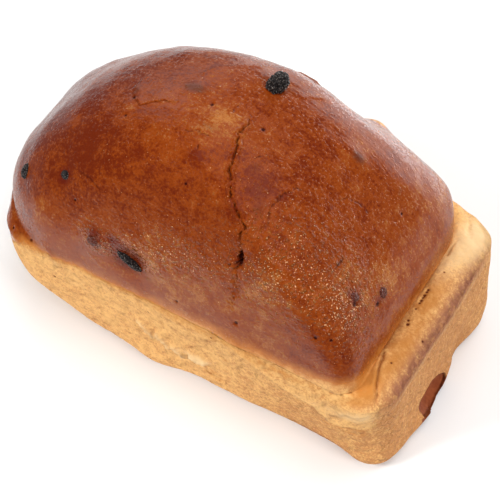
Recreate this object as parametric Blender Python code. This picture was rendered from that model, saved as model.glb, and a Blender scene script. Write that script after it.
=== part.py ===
"""A fruited tin loaf: a pale body that took the shape of its tin, a glazed brown dome and baked-in raisins.

The loaf stands on its flat base. +X points to the end whose pale shelf shows, -Y to the long front side
and +Z up. The origin is on the floor under the middle of the loaf. Lengths are in metres.
"""

import math

import bmesh
import bpy
import numpy as np
from mathutils import Vector, kdtree, noise
from mathutils.bvhtree import BVHTree

MM = 0.001

# The body that the tin shaped, as reaches from the middle
BASE_LEFT = 67.0 * MM
BASE_RIGHT = 95.2 * MM
BASE_HALF_WIDTH = 47.5 * MM
RIM_LEFT = 92.6 * MM
RIM_RIGHT = 93.0 * MM
RIM_HALF_WIDTH = 52.5 * MM
RIM_HEIGHT = 46.6 * MM
LEFT_UNDERCUT = 3.3
BASE_CORNERS = {"right": 16.0 * MM, "left": 39.5 * MM}
RIM_CORNERS = {"right": 15.3 * MM, "left": 26.0 * MM}
FOOT_ROUNDING = 6.5 * MM

# The line where the brown crust starts
CRUST_LEFT = 95.2 * MM
CRUST_RIGHT = 80.3 * MM
CRUST_FRONT = 52.3 * MM
CRUST_BACK = 49.1 * MM
CRUST_HEIGHT = 51.8 * MM
CRUST_CORNERS = {"back right": 23.6 * MM, "left": 41.5 * MM, "front right": 7.0 * MM}
SHELF_CROWN = 1.8 * MM
SEAM_DEPTH = 1.5 * MM

# Towards the near corner the seam fades out between these places across the loaf
SEAM_END = (-36.0 * MM, -24.0 * MM)

# The dome: its rise over the crust line, and how its level lines shrink towards the peak
DOME_RISE = 75.0 * MM
PEAK_X = -2.7 * MM
LEFT_SHOULDER = 0.41
RIGHT_SHOULDER = 0.22
CROSS_ROUNDNESS = 2.32
RISE_ROUNDNESS = 1.92
OVAL_GROWTH = 0.76
RIGHT_LEAN = 0.03

# The peak settled to a broad crown that comes no higher than this
CROWN_HEIGHT = 123.9 * MM
CROWN_SOFTNESS = 7.0 * MM

# Unevenness of the risen dough
SWELL_HEIGHT = 0.7 * MM
SWELL_WAVE = 26.0 * MM
LUMP_HEIGHT = 0.3 * MM
LUMP_WAVE = 9.0 * MM

# How finely the loaf is divided
AROUND = 92
WALL_STEPS = 8
DOME_STEPS = 18
TRUE_AROUND = 300
FINE_EDGE = 2.6 * MM
FINEST_EDGE = 1.7 * MM

# Where the middle of the finished loaf's box lies, which becomes the origin
MIDDLE = (1.06 * MM, 0.2 * MM, 0.0)

# A raisin never comes nearer to its pocket than this
POCKET_GAP = 0.45 * MM

# Paths on the skin, in millimetres, each point moved to the nearest point of the skin
CRACK = [(10.4, -2, 118.4), (10.9, -8, 118.3), (10.6, -11.7, 118.3), (12.8, -16.6, 117.3),
         (14.9, -22.9, 115.6), (15.4, -26.4, 114.5), (19.6, -32.7, 110.8), (25.4, -36.4, 107.2),
         (28.8, -38.7, 104.5), (28.1, -40.3, 102.4), (29.9, -42.9, 97.4), (30.5, -44.8, 92.9),
         (29.9, -46.2, 89.3)]
CRACK_END = [(29.9, -46.2, 89.3), (30.3, -47.9, 83.9), (29.9, -49.9, 75.6), (28.8, -50.6, 72)]
CRACK_BRANCH = [(33, -37, 103), (35.5, -33, 104), (33.6, -28, 108.4), (34.9, -21.7, 108.9),
                (37, -16.6, 108), (39.9, -14.4, 106.4)]
RIGHT_CREASE = [(47.2, -9.9, 101.7), (51.5, -3.5, 98.5), (57, -1.2, 94), (61, -1.4, 90.4)]
LEFT_CREASE = [(-11.3, -14.9, 119.1), (-7.2, -19.8, 118.4), (-2.7, -18.7, 118.8), (3.2, -18, 118.7)]
SKYLINE_LIP = [(2, 26, 114), (-1, 22, 116), (-6, 18, 118), (-10, 14, 119), (-14, 11, 119),
               (-17, 7, 119), (-18, 4, 119)]
OUTER_LIP = [(-37, 2, 113), (-38, -3, 112), (-39.5, -8.5, 111.5)]
SHEET_EDGE = [(-36, -11.4, 112.7), (-30.8, -14.8, 114.2), (-24, -11.1, 116.9), (-15.9, -9.8, 118.9)]
LEFT_FOLD = [(-60, -49, 57), (-57, -52, 54.5), (-55, -52, 51), (-53, -52, 46), (-51, -52, 43)]
CORNER_CREASE = [(80.6, -24, 52), (82.5, -34.2, 52.7), (84.6, -39.6, 51.5), (87.4, -46.8, 48.5)]
FRONT_LEDGE = [(18, -52.4, 49), (31.5, -52.4, 50), (37, -52.5, 48), (44, -52, 45), (51, -52, 41),
               (66, -52, 39.7), (73, -51, 32.6), (82, -51, 34), (88, -48, 32.5), (91.6, -43, 33.7)]
BACK_FOLD = [(76, 52, 49), (80, 46, 50), (84, 38, 50)]
WALL_FOLDS = [
    [(-18, -50, 34), (-11.5, -50, 27), (-8, -50, 22)],
    [(-2, -50, 28), (2, -50, 22), (5, -49, 17)],
]
WALL_GROOVE = [(13, -49, 15), (18, -49, 13), (22.5, -49, 13.6)]

# Path, half width, depth and height of the raised lips beside it, in millimetres
GROOVES = [
    (CRACK, 1.5, 1.8, 0.40),
    (CRACK_END, 2.4, 0.8, 0.0),
    (CRACK_BRANCH, 1.4, 0.6, 0.15),
    (RIGHT_CREASE, 1.3, 0.5, 0.10),
    (LEFT_CREASE, 1.3, 0.5, 0.10),
    (CORNER_CREASE, 1.5, 1.2, 0.3),
    (BACK_FOLD, 2.0, 1.6, 0.6),
    (WALL_GROOVE, 2.0, 1.5, 0.5),
]

# Path, height of the step and how far it runs out on its raised left side, in millimetres
FOLDS = [
    (SKYLINE_LIP, 1.0, 8.0),
    (OUTER_LIP, 0.8, 7.0),
    (SHEET_EDGE, 0.5, 6.0),
    (LEFT_FOLD, 1.0, 6.0),
    (FRONT_LEDGE, 1.6, 11.0),
] + [(path, 1.2, 4.0) for path in WALL_FOLDS]

# Middle, reach along each axis and height (a hollow is below zero), in millimetres
SWELLS = [
    # The near corner's pale lobe and the hollows that raisins left in the glaze
    ((84, -46, 46), (10, 8, 7), 1.4),
    ((-17, -51, 68), (9, 8, 7), -2.2),
    ((-50, -41, 90), (6, 6, 6), -0.5),
    ((30, -44, 94), (3.5, 3.5, 4), -1.6),
    # Raisins under the skin
    ((-32, -50, 72), (5, 5, 5), 0.8),
    ((-15, -1, 119), (7, 5, 4), 0.9),
    ((46, 12, 103), (5, 4, 4), 0.8),
    # The dome is fuller or slacker here and there
    ((0, 32, 110), (14, 10, 12), 1.2),
    ((-27, 33, 105), (14, 10, 12), -0.8),
    ((34, 40, 96), (16, 10, 12), -1.9),
    ((70, 44, 66), (10, 10, 14), 2.5),
    ((-82, -8, 78), (15, 17, 16), -2.2),
    ((-62, 18, 96), (16, 14, 14), -0.6),
    ((-91, -37, 58), (6, 6, 6), 0.6),
    # A shred of the back wall stands off the crust
    ((36, 48, 81), (7.5, 7, 5), 5.2),
    # The rim and the walls
    ((67, 54, 47), (9, 8, 9), 1.8),
    ((82, 48, 47), (6, 7, 8), -1.2),
    ((-90, -40, 46), (10, 10, 9), -1.6),
    ((-70, -49, 25), (19, 12, 15), 1.7),
    ((58, -48, 5), (26, 10, 10), -1.8),
    ((88, -46, 5), (11, 9, 9), 2.8),
    ((-13, -48, 6), (13, 8, 8), 2.2),
    # The end wall's foot, between two notches and below the hollow
    ((94, 41, 12), (8, 8, 10), 1.7),
    ((94, 18, 7), (8, 6, 9), -3.2),
    ((95, -14, 4), (8, 16, 6), 2.6),
    ((95, 46, 30), (8, 8, 16), 0.9),
]

# The burst hollow low in the end wall, torn open over a raisin that came away
HOLLOW_MIDDLE = (97.0 * MM, -9.5 * MM, 9.9 * MM)
HOLLOW_RADII = (6.3 * MM, 12.3 * MM, 7.3 * MM)
HOLLOW_TILT = -14.0

# Raisins: the skin's nearest point, how deep the middle lies under it and the radii, in millimetres,
# then the turns in degrees, the depth of the wrinkles in millimetres and the seed
RAISINS = {
    "raisin_top": ((9.6, 15.6, 117.0), -1.9, (5.9, 4.6, 4.4), (15, -20, 72), 0.9, 3),
    "raisin_front": ((-17.0, -51.0, 68.1), -0.2, (6.9, 2.6, 2.4), (10, 24, -4), 0.5, 7),
    "raisin_left": ((-74.2, -37.0, 74.4), 0.3, (3.6, 2.5, 2.1), (0, -44, 90), 0.35, 11),
    "raisin_spot": ((-50.1, -40.9, 89.7), 0.6, (2.6, 2.2, 2.4), (20, 10, 0), 0.35, 13),
    "raisin_glazed": ((-32.5, -50.3, 71.6), 1.2, (3.2, 2.3, 3.4), (0, 15, 10), 0.4, 17),
    "raisin_end": ((74.6, -17.5, 73.5), 1.3, (3.3, 3.0, 2.3), (0, 40, 15), 0.3, 19),
    "raisin_end_lower": ((69.3, -29.6, 81.2), 1.2, (3.1, 2.4, 2.1), (0, 30, 40), 0.3, 23),
}

COLOURS = {
    "crust": (0.29, 0.07, 0.02),
    "wall": (0.72, 0.44, 0.18),
    "raisin": (0.018, 0.012, 0.012),
}


def clear_scene():
    for obj in list(bpy.data.objects):
        bpy.data.objects.remove(obj, do_unlink=True)


def material(name, colour, roughness):
    made = bpy.data.materials.new(name)
    made.use_nodes = True
    shader = made.node_tree.nodes["Principled BSDF"]
    shader.inputs["Base Color"].default_value = (*colour, 1.0)
    shader.inputs["Roughness"].default_value = roughness
    shader.inputs["Metallic"].default_value = 0.0
    return made


# Each corner's sides along X and Y, the angle where its arc starts and its name
CORNER_PLACES = [(1, 1, 0, "back right"), (-1, 1, 90, "back left"),
                 (-1, -1, 180, "front left"), (1, -1, 270, "front right")]


def rounded_outline(left, right, front, back, corners, count):
    """A rectangle with rounded corners, as evenly spaced points, counterclockwise seen from above."""
    arcs = []
    for side_x, side_y, start, name in CORNER_PLACES:
        radius = corners[name]
        centre_x = side_x * ((right if side_x > 0 else left) - radius)
        centre_y = side_y * ((back if side_y > 0 else front) - radius)
        angles = np.radians(np.linspace(start, start + 90, 24))
        arcs.append(np.c_[centre_x + radius * np.cos(angles), centre_y + radius * np.sin(angles)])
    path = np.concatenate(arcs + [arcs[0][:1]])
    travelled = np.r_[0, np.cumsum(np.linalg.norm(np.diff(path, axis=0), axis=1))]
    wanted = np.linspace(0, travelled[-1], count, endpoint=False)
    return np.stack([np.interp(wanted, travelled, path[:, axis]) for axis in (0, 1)], axis=1)


def body_ring(share, count):
    """The body's outline at this share of the rim's height. Its left end draws in towards the floor."""
    height = share * RIM_HEIGHT
    drop = max(0.0, FOOT_ROUNDING - height)
    inset = FOOT_ROUNDING - math.sqrt(FOOT_ROUNDING**2 - drop**2)
    low = (1 - share) ** LEFT_UNDERCUT
    left = RIM_LEFT - (RIM_LEFT - BASE_LEFT) * low - inset
    right = BASE_RIGHT + (RIM_RIGHT - BASE_RIGHT) * share - inset
    half_width = BASE_HALF_WIDTH + (RIM_HALF_WIDTH - BASE_HALF_WIDTH) * share - inset
    left_corner = RIM_CORNERS["left"] + (BASE_CORNERS["left"] - RIM_CORNERS["left"]) * low
    right_corner = BASE_CORNERS["right"] + (RIM_CORNERS["right"] - BASE_CORNERS["right"]) * share
    corners = {"back right": right_corner, "back left": left_corner}
    corners.update({"front left": left_corner, "front right": right_corner})
    outline = rounded_outline(left, right, half_width, half_width, corners, count)
    return np.c_[outline, np.full(count, height)]


def crust_ring(count):
    corners = {"back right": CRUST_CORNERS["back right"], "back left": CRUST_CORNERS["left"]}
    corners.update({"front left": CRUST_CORNERS["left"], "front right": CRUST_CORNERS["front right"]})
    outline = rounded_outline(CRUST_LEFT, CRUST_RIGHT, CRUST_FRONT, CRUST_BACK, corners, count)
    return np.c_[outline, np.full(count, CRUST_HEIGHT)]


def shelf_ring(share, count):
    """Between rim and crust line: fuller where the shelf is wide, and drawn in under the crust there."""
    rim, crust = body_ring(1.0, count), crust_ring(count)
    ring = rim * (1 - share) + crust * share
    wide = np.clip(np.linalg.norm((rim - crust)[:, :2], axis=1) / (RIM_RIGHT - CRUST_RIGHT), 0, 1)
    fade = np.clip((ring[:, 1] - SEAM_END[0]) / (SEAM_END[1] - SEAM_END[0]), 0, 1)
    seam = SEAM_DEPTH * share**6 * wide * fade
    ring[:, 2] += SHELF_CROWN * math.sin(math.pi * share) * wide - seam
    ring[:, 0] -= np.sign(ring[:, 0]) * seam
    return ring


def settled(height):
    """The height after the top has sunk a little under its own weight."""
    share = np.exp(-height / CROWN_SOFTNESS) + math.exp(-CROWN_HEIGHT / CROWN_SOFTNESS)
    return -CROWN_SOFTNESS * np.log(share)


def dome_ring(angle, count):
    """A level line of the dome: the tin's rounded rectangle low down, nearly an oval at the peak."""
    cosine = math.cos(angle)
    rise = math.sin(angle) ** (2 / RISE_ROUNDNESS)
    left = (CRUST_LEFT + PEAK_X) * cosine * (LEFT_SHOULDER + (1 - LEFT_SHOULDER) * cosine)
    right = (CRUST_RIGHT - PEAK_X) * cosine * (RIGHT_SHOULDER + (1 - RIGHT_SHOULDER) * cosine)
    across = cosine ** (2 / CROSS_ROUNDNESS)
    half_width = (CRUST_FRONT + CRUST_BACK) / 2 * across
    oval = (1 - across) ** OVAL_GROWTH
    largest = 0.98 * min(half_width, (left + right) / 2)
    radii = {}
    for name, radius in CRUST_CORNERS.items():
        radii[name] = min(radius * (1 - oval) + largest * oval, largest)
    corners = {"back right": radii["back right"], "back left": radii["left"]}
    corners.update({"front left": radii["left"], "front right": radii["front right"]})
    outline = rounded_outline(left, right, half_width, half_width, corners, count)
    x, y = outline[:, 0] + PEAK_X, outline[:, 1] + (CRUST_BACK - CRUST_FRONT) / 2
    full = DOME_RISE * (1 + RIGHT_LEAN * (x - PEAK_X) / CRUST_LEFT)
    return np.c_[x, y, settled(CRUST_HEIGHT + full * rise)]


def loaf_rings(count, wall_steps, dome_steps):
    """All level lines from the middle of the base to the peak. The steps are shortest at the foot."""
    foot = body_ring(0.0, count)
    middle = foot.mean(axis=0)
    rings = [middle + (foot - middle) * share for share in (0.35, 0.7, 0.92)]
    rings += [body_ring(share**1.5, count) for share in np.linspace(0, 1, wall_steps)]
    rings += [shelf_ring(share, count) for share in (0.3, 0.65, 1.0)]
    angles = np.radians(np.linspace(0, 90, dome_steps + 1)[1:-1])
    return rings + [dome_ring(angle, count) for angle in angles]


def closed_skin(rings):
    """Points and faces of the rings joined one to the next, with a fan at the base and one at the peak."""
    count = len(rings[0])
    points = np.concatenate([[rings[0].mean(axis=0)], *rings, [rings[-1].mean(axis=0)]])
    points[-1, 2] = settled(CRUST_HEIGHT + DOME_RISE)
    faces = []
    last = len(points) - 1
    for i in range(count):
        following = (i + 1) % count
        faces.append((0, 1 + following, 1 + i))
        for k in range(len(rings) - 1):
            low, high = 1 + k * count, 1 + (k + 1) * count
            faces.append((low + i, low + following, high + following, high + i))
        faces.append((last - count + i, last - count + following, last))
    return points, faces


def true_skin():
    """The smooth form, finely divided, that paths and new points are moved to."""
    points, faces = closed_skin(loaf_rings(TRUE_AROUND, 3 * WALL_STEPS, 3 * DOME_STEPS))
    return BVHTree.FromPolygons([Vector(p) for p in points], faces)


def walk(path, skin, step=0.8 * MM):
    """Points every step along a path, on the skin, each with its way ahead and its share of the path."""
    corners = [skin.find_nearest(Vector(point) * MM)[0] for point in path]
    found = []
    for start, end in zip(corners, corners[1:]):
        pieces = max(1, round((end - start).length / step))
        found += [skin.find_nearest(start.lerp(end, k / pieces))[0] for k in range(pieces)]
    found.append(corners[-1])
    last = len(found) - 1
    ahead = [(found[min(k + 1, last)] - found[max(k - 1, 0)]).normalized() for k in range(last + 1)]
    return [(point, way, k / last) for k, (point, way) in enumerate(zip(found, ahead))]


def tree_of(walked):
    tree = kdtree.KDTree(len(walked))
    for index, (point, _, _) in enumerate(walked):
        tree.insert(point, index)
    tree.balance()
    return tree


class Relief:
    """How far each point of the smooth skin moves along its normal."""

    def __init__(self, skin):
        self.grooves = [(walk(path, skin), *(size * MM for size in sizes)) for path, *sizes in GROOVES]
        self.folds = [(walk(path, skin), *(size * MM for size in sizes)) for path, *sizes in FOLDS]
        self.groove_trees = [tree_of(walked) for walked, *_ in self.grooves]
        self.fold_trees = [tree_of(walked) for walked, *_ in self.folds]

    def distance(self, point):
        """The distance to the nearest groove or fold."""
        return min(tree.find(point)[2] for tree in self.groove_trees + self.fold_trees)

    def groove(self, point):
        total = 0.0
        for (walked, half_width, depth, lip), tree in zip(self.grooves, self.groove_trees):
            _, index, distance = tree.find(point)
            if distance > 4 * half_width:
                continue
            fade = min(1.0, 6 * min(walked[index][2], 1 - walked[index][2]) + 0.25)
            total -= fade * depth * max(0.0, 1 - (distance / half_width) ** 2)
            total += fade * lip * math.exp(-(((distance - 1.8 * half_width) / (0.8 * half_width)) ** 2))
        return total

    def fold(self, point, normal):
        total = 0.0
        for (walked, height, run), tree in zip(self.folds, self.fold_trees):
            _, index, distance = tree.find(point)
            if distance > 3 * run:
                continue
            centre, ahead, share = walked[index]
            fade = min(1.0, 5 * min(share, 1 - share))
            side = normal.cross(ahead).dot(point - centre)
            if side > 0:
                total += fade * height * math.exp(-distance / run)
            else:
                total += fade * height * math.exp(-distance / (0.12 * run)) * 0.4
        return total

    def swell(self, point):
        total = 0.0
        for middle, reach, height in SWELLS:
            away = sum(((point[k] / MM - middle[k]) / reach[k]) ** 2 for k in range(3))
            total += height * MM * math.exp(-away)
        return total

    def unevenness(self, point):
        slow = noise.noise(point / SWELL_WAVE)
        quick = noise.noise(point / LUMP_WAVE + Vector((5, 3, 9)))
        return SWELL_HEIGHT * slow + LUMP_HEIGHT * quick

    def at(self, point, normal):
        grip = min(1.0, max(0.0, point.z / (4 * MM)))
        large = self.swell(point) + self.unevenness(point)
        return grip * (large + self.groove(point) + self.fold(point, normal))


def divide_near(mesh, relief, reach, longest):
    """Splits the edges within reach of a groove or fold that are longer than this."""
    near = []
    for edge in mesh.edges:
        if edge.calc_length() > longest and edge.verts[0].co.z > 2 * MM:
            if min(relief.distance(vert.co) for vert in edge.verts) < reach:
                near.append(edge)
    bmesh.ops.subdivide_edges(mesh, edges=near, cuts=1, use_grid_fill=True)
    bmesh.ops.triangulate(mesh, faces=mesh.faces[:])


def build_loaf_skin(skin, relief):
    points, faces = closed_skin(loaf_rings(AROUND, WALL_STEPS, DOME_STEPS))
    mesh = bmesh.new()
    verts = [mesh.verts.new(point) for point in points]
    for face in faces:
        mesh.faces.new([verts[index] for index in face])
    bmesh.ops.triangulate(mesh, faces=mesh.faces[:])
    divide_near(mesh, relief, 4.0 * MM, FINE_EDGE)
    divide_near(mesh, relief, 1.8 * MM, FINEST_EDGE)
    moved = []
    for vert in mesh.verts:
        place, normal, _, _ = skin.find_nearest(vert.co)
        if vert.co.z < 0.01 * MM:
            place = vert.co.copy()
        moved.append(place + normal * relief.at(place, normal))
    for vert, place in zip(mesh.verts, moved):
        vert.co = place
    bmesh.ops.recalc_face_normals(mesh, faces=mesh.faces[:])
    return mesh


def named_object(name, mesh, finish):
    data = bpy.data.meshes.new(name)
    mesh.to_mesh(data)
    mesh.free()
    data.materials.append(finish)
    data.shade_smooth()
    obj = bpy.data.objects.new(name, data)
    bpy.context.scene.collection.objects.link(obj)
    return obj


def place_and_turn(obj, place, turns):
    obj.location = place
    obj.rotation_euler = [math.radians(turn) for turn in turns]


def wrinkled_mesh(radii, wrinkle, seed, subdivisions):
    """A dried fruit: an ellipsoid drawn in along creases, never past its outer radii."""
    mesh = bmesh.new()
    bmesh.ops.create_icosphere(mesh, subdivisions=subdivisions, radius=1.0)
    shift = Vector((seed, 2 * seed, 3 * seed))
    for vert in mesh.verts:
        way = vert.co.normalized()
        crease = abs(noise.noise(way * 1.9 + shift)) ** 0.6
        dimple = 0.5 + 0.5 * noise.noise(way * 4.5 + shift)
        draw_in = wrinkle * (1.0 - crease) + 0.35 * wrinkle * dimple
        full = Vector([way[k] * radii[k] for k in range(3)])
        vert.co = full * (1 - draw_in * MM / full.length)
    return mesh


def ellipsoid_mesh(radii, subdivisions):
    mesh = bmesh.new()
    bmesh.ops.create_icosphere(mesh, subdivisions=subdivisions, radius=1.0)
    bmesh.ops.scale(mesh, vec=radii, verts=mesh.verts[:])
    return mesh


def cut_with(loaf, cutter):
    cutter.hide_render = True
    cutter.display_type = "WIRE"
    cut = loaf.modifiers.new(cutter.name, "BOOLEAN")
    cut.operation = "DIFFERENCE"
    cut.object = cutter


def build_raisins(loaf, skin, relief, finish):
    for name, (near, sink, radii, turns, wrinkle, seed) in RAISINS.items():
        place, normal, _, _ = skin.find_nearest(Vector(near) * MM)
        place = place + normal * (relief.at(place, normal) - sink * MM)
        radii = [radius * MM for radius in radii]
        detail = 3 if name == "raisin_top" else 2
        raisin = named_object(name, wrinkled_mesh(radii, wrinkle, seed, detail), finish)
        place_and_turn(raisin, place, turns)
        pocket = named_object(name + "_pocket", ellipsoid_mesh([r + POCKET_GAP for r in radii], 2), finish)
        place_and_turn(pocket, place, turns)
        cut_with(loaf, pocket)


def cut_hollow(loaf, finish):
    hollow = named_object("end_hollow", ellipsoid_mesh(HOLLOW_RADII, 3), finish)
    place_and_turn(hollow, HOLLOW_MIDDLE, (HOLLOW_TILT, 0, 0))
    cut_with(loaf, hollow)


def main():
    clear_scene()
    wall = material("pale_wall", COLOURS["wall"], 0.8)
    crust = material("glazed_crust", COLOURS["crust"], 0.3)
    raisin = material("raisin_skin", COLOURS["raisin"], 0.45)
    skin = true_skin()
    relief = Relief(skin)
    loaf = named_object("loaf", build_loaf_skin(skin, relief), wall)
    loaf.data.materials.append(crust)
    for face in loaf.data.polygons:
        face.material_index = int(face.center.z > CRUST_HEIGHT and face.center.x < CRUST_RIGHT + 1 * MM)
    cut_hollow(loaf, wall)
    build_raisins(loaf, skin, relief, raisin)
    for obj in bpy.data.objects:
        obj.location -= Vector(MIDDLE)


main()
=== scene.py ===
"""Dresses a fruited tin loaf: its glazed crust, pale walls, burst and raisins, on a plain pale floor."""

import math

import bmesh
import bpy
import numpy as np
from bpy.props import FloatProperty, FloatVectorProperty, IntProperty, PointerProperty
from mathutils import Euler, Matrix, Vector, noise
from mathutils.bvhtree import BVHTree


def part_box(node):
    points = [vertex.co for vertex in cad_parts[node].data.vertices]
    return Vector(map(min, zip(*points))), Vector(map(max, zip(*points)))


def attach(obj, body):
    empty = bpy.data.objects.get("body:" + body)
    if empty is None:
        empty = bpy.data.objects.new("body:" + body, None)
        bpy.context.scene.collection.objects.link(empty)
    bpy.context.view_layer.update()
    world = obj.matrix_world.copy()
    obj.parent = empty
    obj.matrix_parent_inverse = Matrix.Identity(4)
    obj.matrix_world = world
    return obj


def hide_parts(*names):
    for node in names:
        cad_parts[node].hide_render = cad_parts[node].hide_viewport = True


bl_info = {
    "name": "Tin loaf",
    "version": (1, 0, 0),
    "blender": (4, 5, 0),
    "location": "View3D > Sidebar > Tin loaf",
    "description": "Builds a fruited tin loaf with its raisins and a plain stage",
    "category": "Object",
}

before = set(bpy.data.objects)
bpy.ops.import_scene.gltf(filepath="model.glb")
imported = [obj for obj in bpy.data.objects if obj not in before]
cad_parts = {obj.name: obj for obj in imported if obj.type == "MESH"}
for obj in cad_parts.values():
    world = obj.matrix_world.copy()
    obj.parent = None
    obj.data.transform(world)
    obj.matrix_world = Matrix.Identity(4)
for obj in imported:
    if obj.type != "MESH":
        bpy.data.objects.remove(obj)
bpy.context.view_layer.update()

MM = 0.001

# Where the middle of the finished loaf's box lies, which becomes the origin
MIDDLE = np.array([1.06, 0.2, 0.0]) * MM

# How finely the loaf is divided: columns round it, and rings across the base, as shares of the way out, and
# up the wall, the shelf and the dome
COLUMNS = 430
BASE_RINGS = (0.35, 0.7, 0.92)
WALL_RINGS = 46
SHELF_RINGS = 12
DOME_RINGS = 101
# How much closer the wall's rings stand near the base, and how often the dome's rings are smoothed
WALL_CROWDING = 1.15
DOME_SMOOTHING = 6
# Between which shares of the way round the columns are sparser, how many times, and how softly that sets in
HIDDEN_SIDE = (0.05, 0.40)
HIDDEN_SIDE_SPARSENESS = 2.2
HIDDEN_SIDE_FADE = 0.03
# How far from a groove, fold or pit edges are halved, what length they need for it, and if folds count
REFINEMENTS = ((2.1 * MM, 0.66 * MM, True), (1.3 * MM, 0.38 * MM, False))
# The step along a path, how many steps its way ahead is averaged over, and how many points are measured
# at once
PATH_STEP = 0.25 * MM
AHEAD_STEPS = 9
BLOCK = 4000
# Where the noise is read that moves a path along x, y and z
WANDER_SHIFTS = ((1.3, 7.7, 4.1), (9.2, 3.6, 8.5), (5.9, 2.4, 6.8))

# Paths on the skin, in millimetres, each point moved to the nearest point of the skin
CRACK = [
    (10.4, -2, 118.4), (10.9, -8.1, 118.3), (10.6, -11.7, 118.3), (11.2, -14.7, 117.9),
    (12.8, -16.6, 117.3), (13.4, -19, 116.8), (14.9, -22.9, 115.6), (15.4, -26.4, 114.5), (17.8, -29, 113),
    (19.6, -32.7, 110.8), (22.5, -34.9, 108.9), (25.4, -36.4, 107.2), (27.7, -37.4, 105.8),
    (28.8, -38.7, 104.5), (28.1, -40.3, 102.4), (29.2, -42.3, 98.5), (29.9, -42.9, 97.4),
]
CRACK_MOUTH = [(29.9, -42.9, 97.4), (30, -43.9, 95.1), (30.5, -44.8, 92.9), (29.9, -46.2, 89.3)]
CRACK_SPUR = [(30.5, -44.8, 92.9), (28.3, -45.4, 91.5), (26.4, -45.8, 90.2)]
CRACK_END = [(29.9, -46.2, 89.3), (30.3, -47.9, 83.9), (29.9, -49.9, 75.6), (28.8, -50.6, 72)]
CRACK_BRANCH = [
    (33, -37, 103), (35.5, -33, 104), (33.6, -28, 108.4), (34.9, -21.7, 108.9), (37, -16.6, 108),
    (39.9, -14.4, 106.4),
]
UPPER_CREASE = [(20.6, -17.2, 115.1), (22.8, -13.3, 114.6), (24.9, -12.8, 113.8)]
RIGHT_CREASE = [(47.2, -9.9, 101.7), (51.5, -3.5, 98.5), (57, -1.2, 94), (61, -1.4, 90.4)]
LEFT_CREASE = [(-11.3, -14.9, 119.1), (-7.2, -19.8, 118.4), (-2.7, -18.7, 118.8), (3.2, -18, 118.7)]
SHEET_EDGE = [
    (-38.9, -7.9, 111.8), (-36, -11.4, 112.7), (-30.8, -14.8, 114.2), (-24, -11.1, 116.9),
    (-15.9, -9.8, 118.9),
]
DASH = [(0.4, -22.5, 117.7), (0.8, -25.1, 116.7)]
TOP_DASH = [(4, 0.6, 121), (4.5, -5.6, 121)]
SKYLINE_LIP = [
    (2, 26, 114), (-1, 22, 116), (-6, 18, 118), (-10, 14, 119), (-14, 11, 119), (-17, 7, 119),
    (-18, 4, 119),
]
FAR_RIDGE = [(6, 36, 108), (12, 35.5, 107), (18, 34, 105.7)]
SHEEN_RIDGE = [(17.8, 16.2, 114.5), (23.4, 24.2, 110.3), (27, 27.6, 107.4)]
SMALL_RIDGE = [(9.7, 3.5, 118.6), (12.5, 7.3, 117.7)]
OUTER_LIP = [(-37, 2, 113), (-38, -3, 112), (-39.5, -8.5, 111.5)]
LEFT_FOLD = [(-60, -49, 57), (-57, -52, 54.5), (-55, -52, 51), (-53, -52, 46), (-51, -52, 43)]
GLAZE_WRINKLE = [(-36.5, -51, 66), (-35, -51.5, 63), (-29, -52, 57)]
CORNER_CREASE = [(80.6, -24, 52), (82.5, -34.2, 52.7), (84.6, -39.6, 51.5), (87.4, -46.8, 48.5)]
SEAM = [(80.3, 34, 51.7), (80.3, 10, 51.7), (80.3, -10, 51.7), (80.6, -25, 51.9)]
FRONT_LEDGE = [
    (18, -52.4, 49), (31.5, -52.4, 50), (37, -52.5, 48), (44, -52, 45), (51, -52, 41), (58, -52, 40.5),
    (66, -52, 39.7), (73, -51, 32.6), (82, -51, 34), (88, -48, 32.5), (91.6, -43, 33.7),
]
BACK_FOLD = [(76, 52, 49), (80, 46, 50), (84, 38, 50)]
WALL_FOLDS = [
    [(-18, -50, 34), (-11.5, -50, 27), (-8, -50, 22)],
    [(-9, -50, 31), (-4.6, -50, 25), (-2, -49, 19)],
    [(-2, -50, 28), (2, -50, 22), (5, -49, 17)],
    [(6, -50, 27), (12, -50, 23.5), (17, -50, 22)],
]
WALL_GROOVE = [(13, -49, 15), (18, -49, 13), (22.5, -49, 13.6)]
STREAK = [(60.6, -23.1, 90.8), (60.7, -29.1, 90.7)]
VEIN = [(-43, -40, 94.6), (-37.4, -41.1, 96), (-30.6, -43.2, 94.8)]

# Path, half width, depth and height of its lips in millimetres, the painted shade in it and how it wanders
GROOVES = [
    (CRACK, 0.60, 0.9, 0.55, 0.52, 1.0),
    (CRACK_MOUTH, 1.25, 1.7, 0.45, 1.0, 1.0),
    (CRACK_SPUR, 0.8, 1.1, 0.25, 0.85, 1.0),
    (CRACK_END, 1.6, 0.5, 0.10, 0.20, 1.0),
    (CRACK_BRANCH, 0.60, 0.28, 0.08, 0.60, 1.0),
    (UPPER_CREASE, 0.6, 0.25, 0.05, 0.70, 1.0),
    (RIGHT_CREASE, 0.55, 0.22, 0.05, 0.6, 1.0),
    (LEFT_CREASE, 0.6, 0.28, 0.08, 0.5, 1.0),
    (DASH, 0.55, 0.35, 0.05, 0.8, 1.0),
    (TOP_DASH, 0.45, 0.25, 0.05, 0.6, 1.0),
    (STREAK, 0.8, 0.2, 0.05, 0.6, 0.25),
    (VEIN, 0.8, 0.05, 0.0, 0.45, 0.25),
    (SEAM, 0.8, 0.5, 0.0, 0.50, 0.25),
    (CORNER_CREASE, 0.8, 1.0, 0.3, 0.30, 0.25),
    (BACK_FOLD, 2.2, 0.7, 0.4, 0.04, 0.25),
    (WALL_GROOVE, 1.7, 1.5, 0.5, 0.25, 0.25),
]
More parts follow.
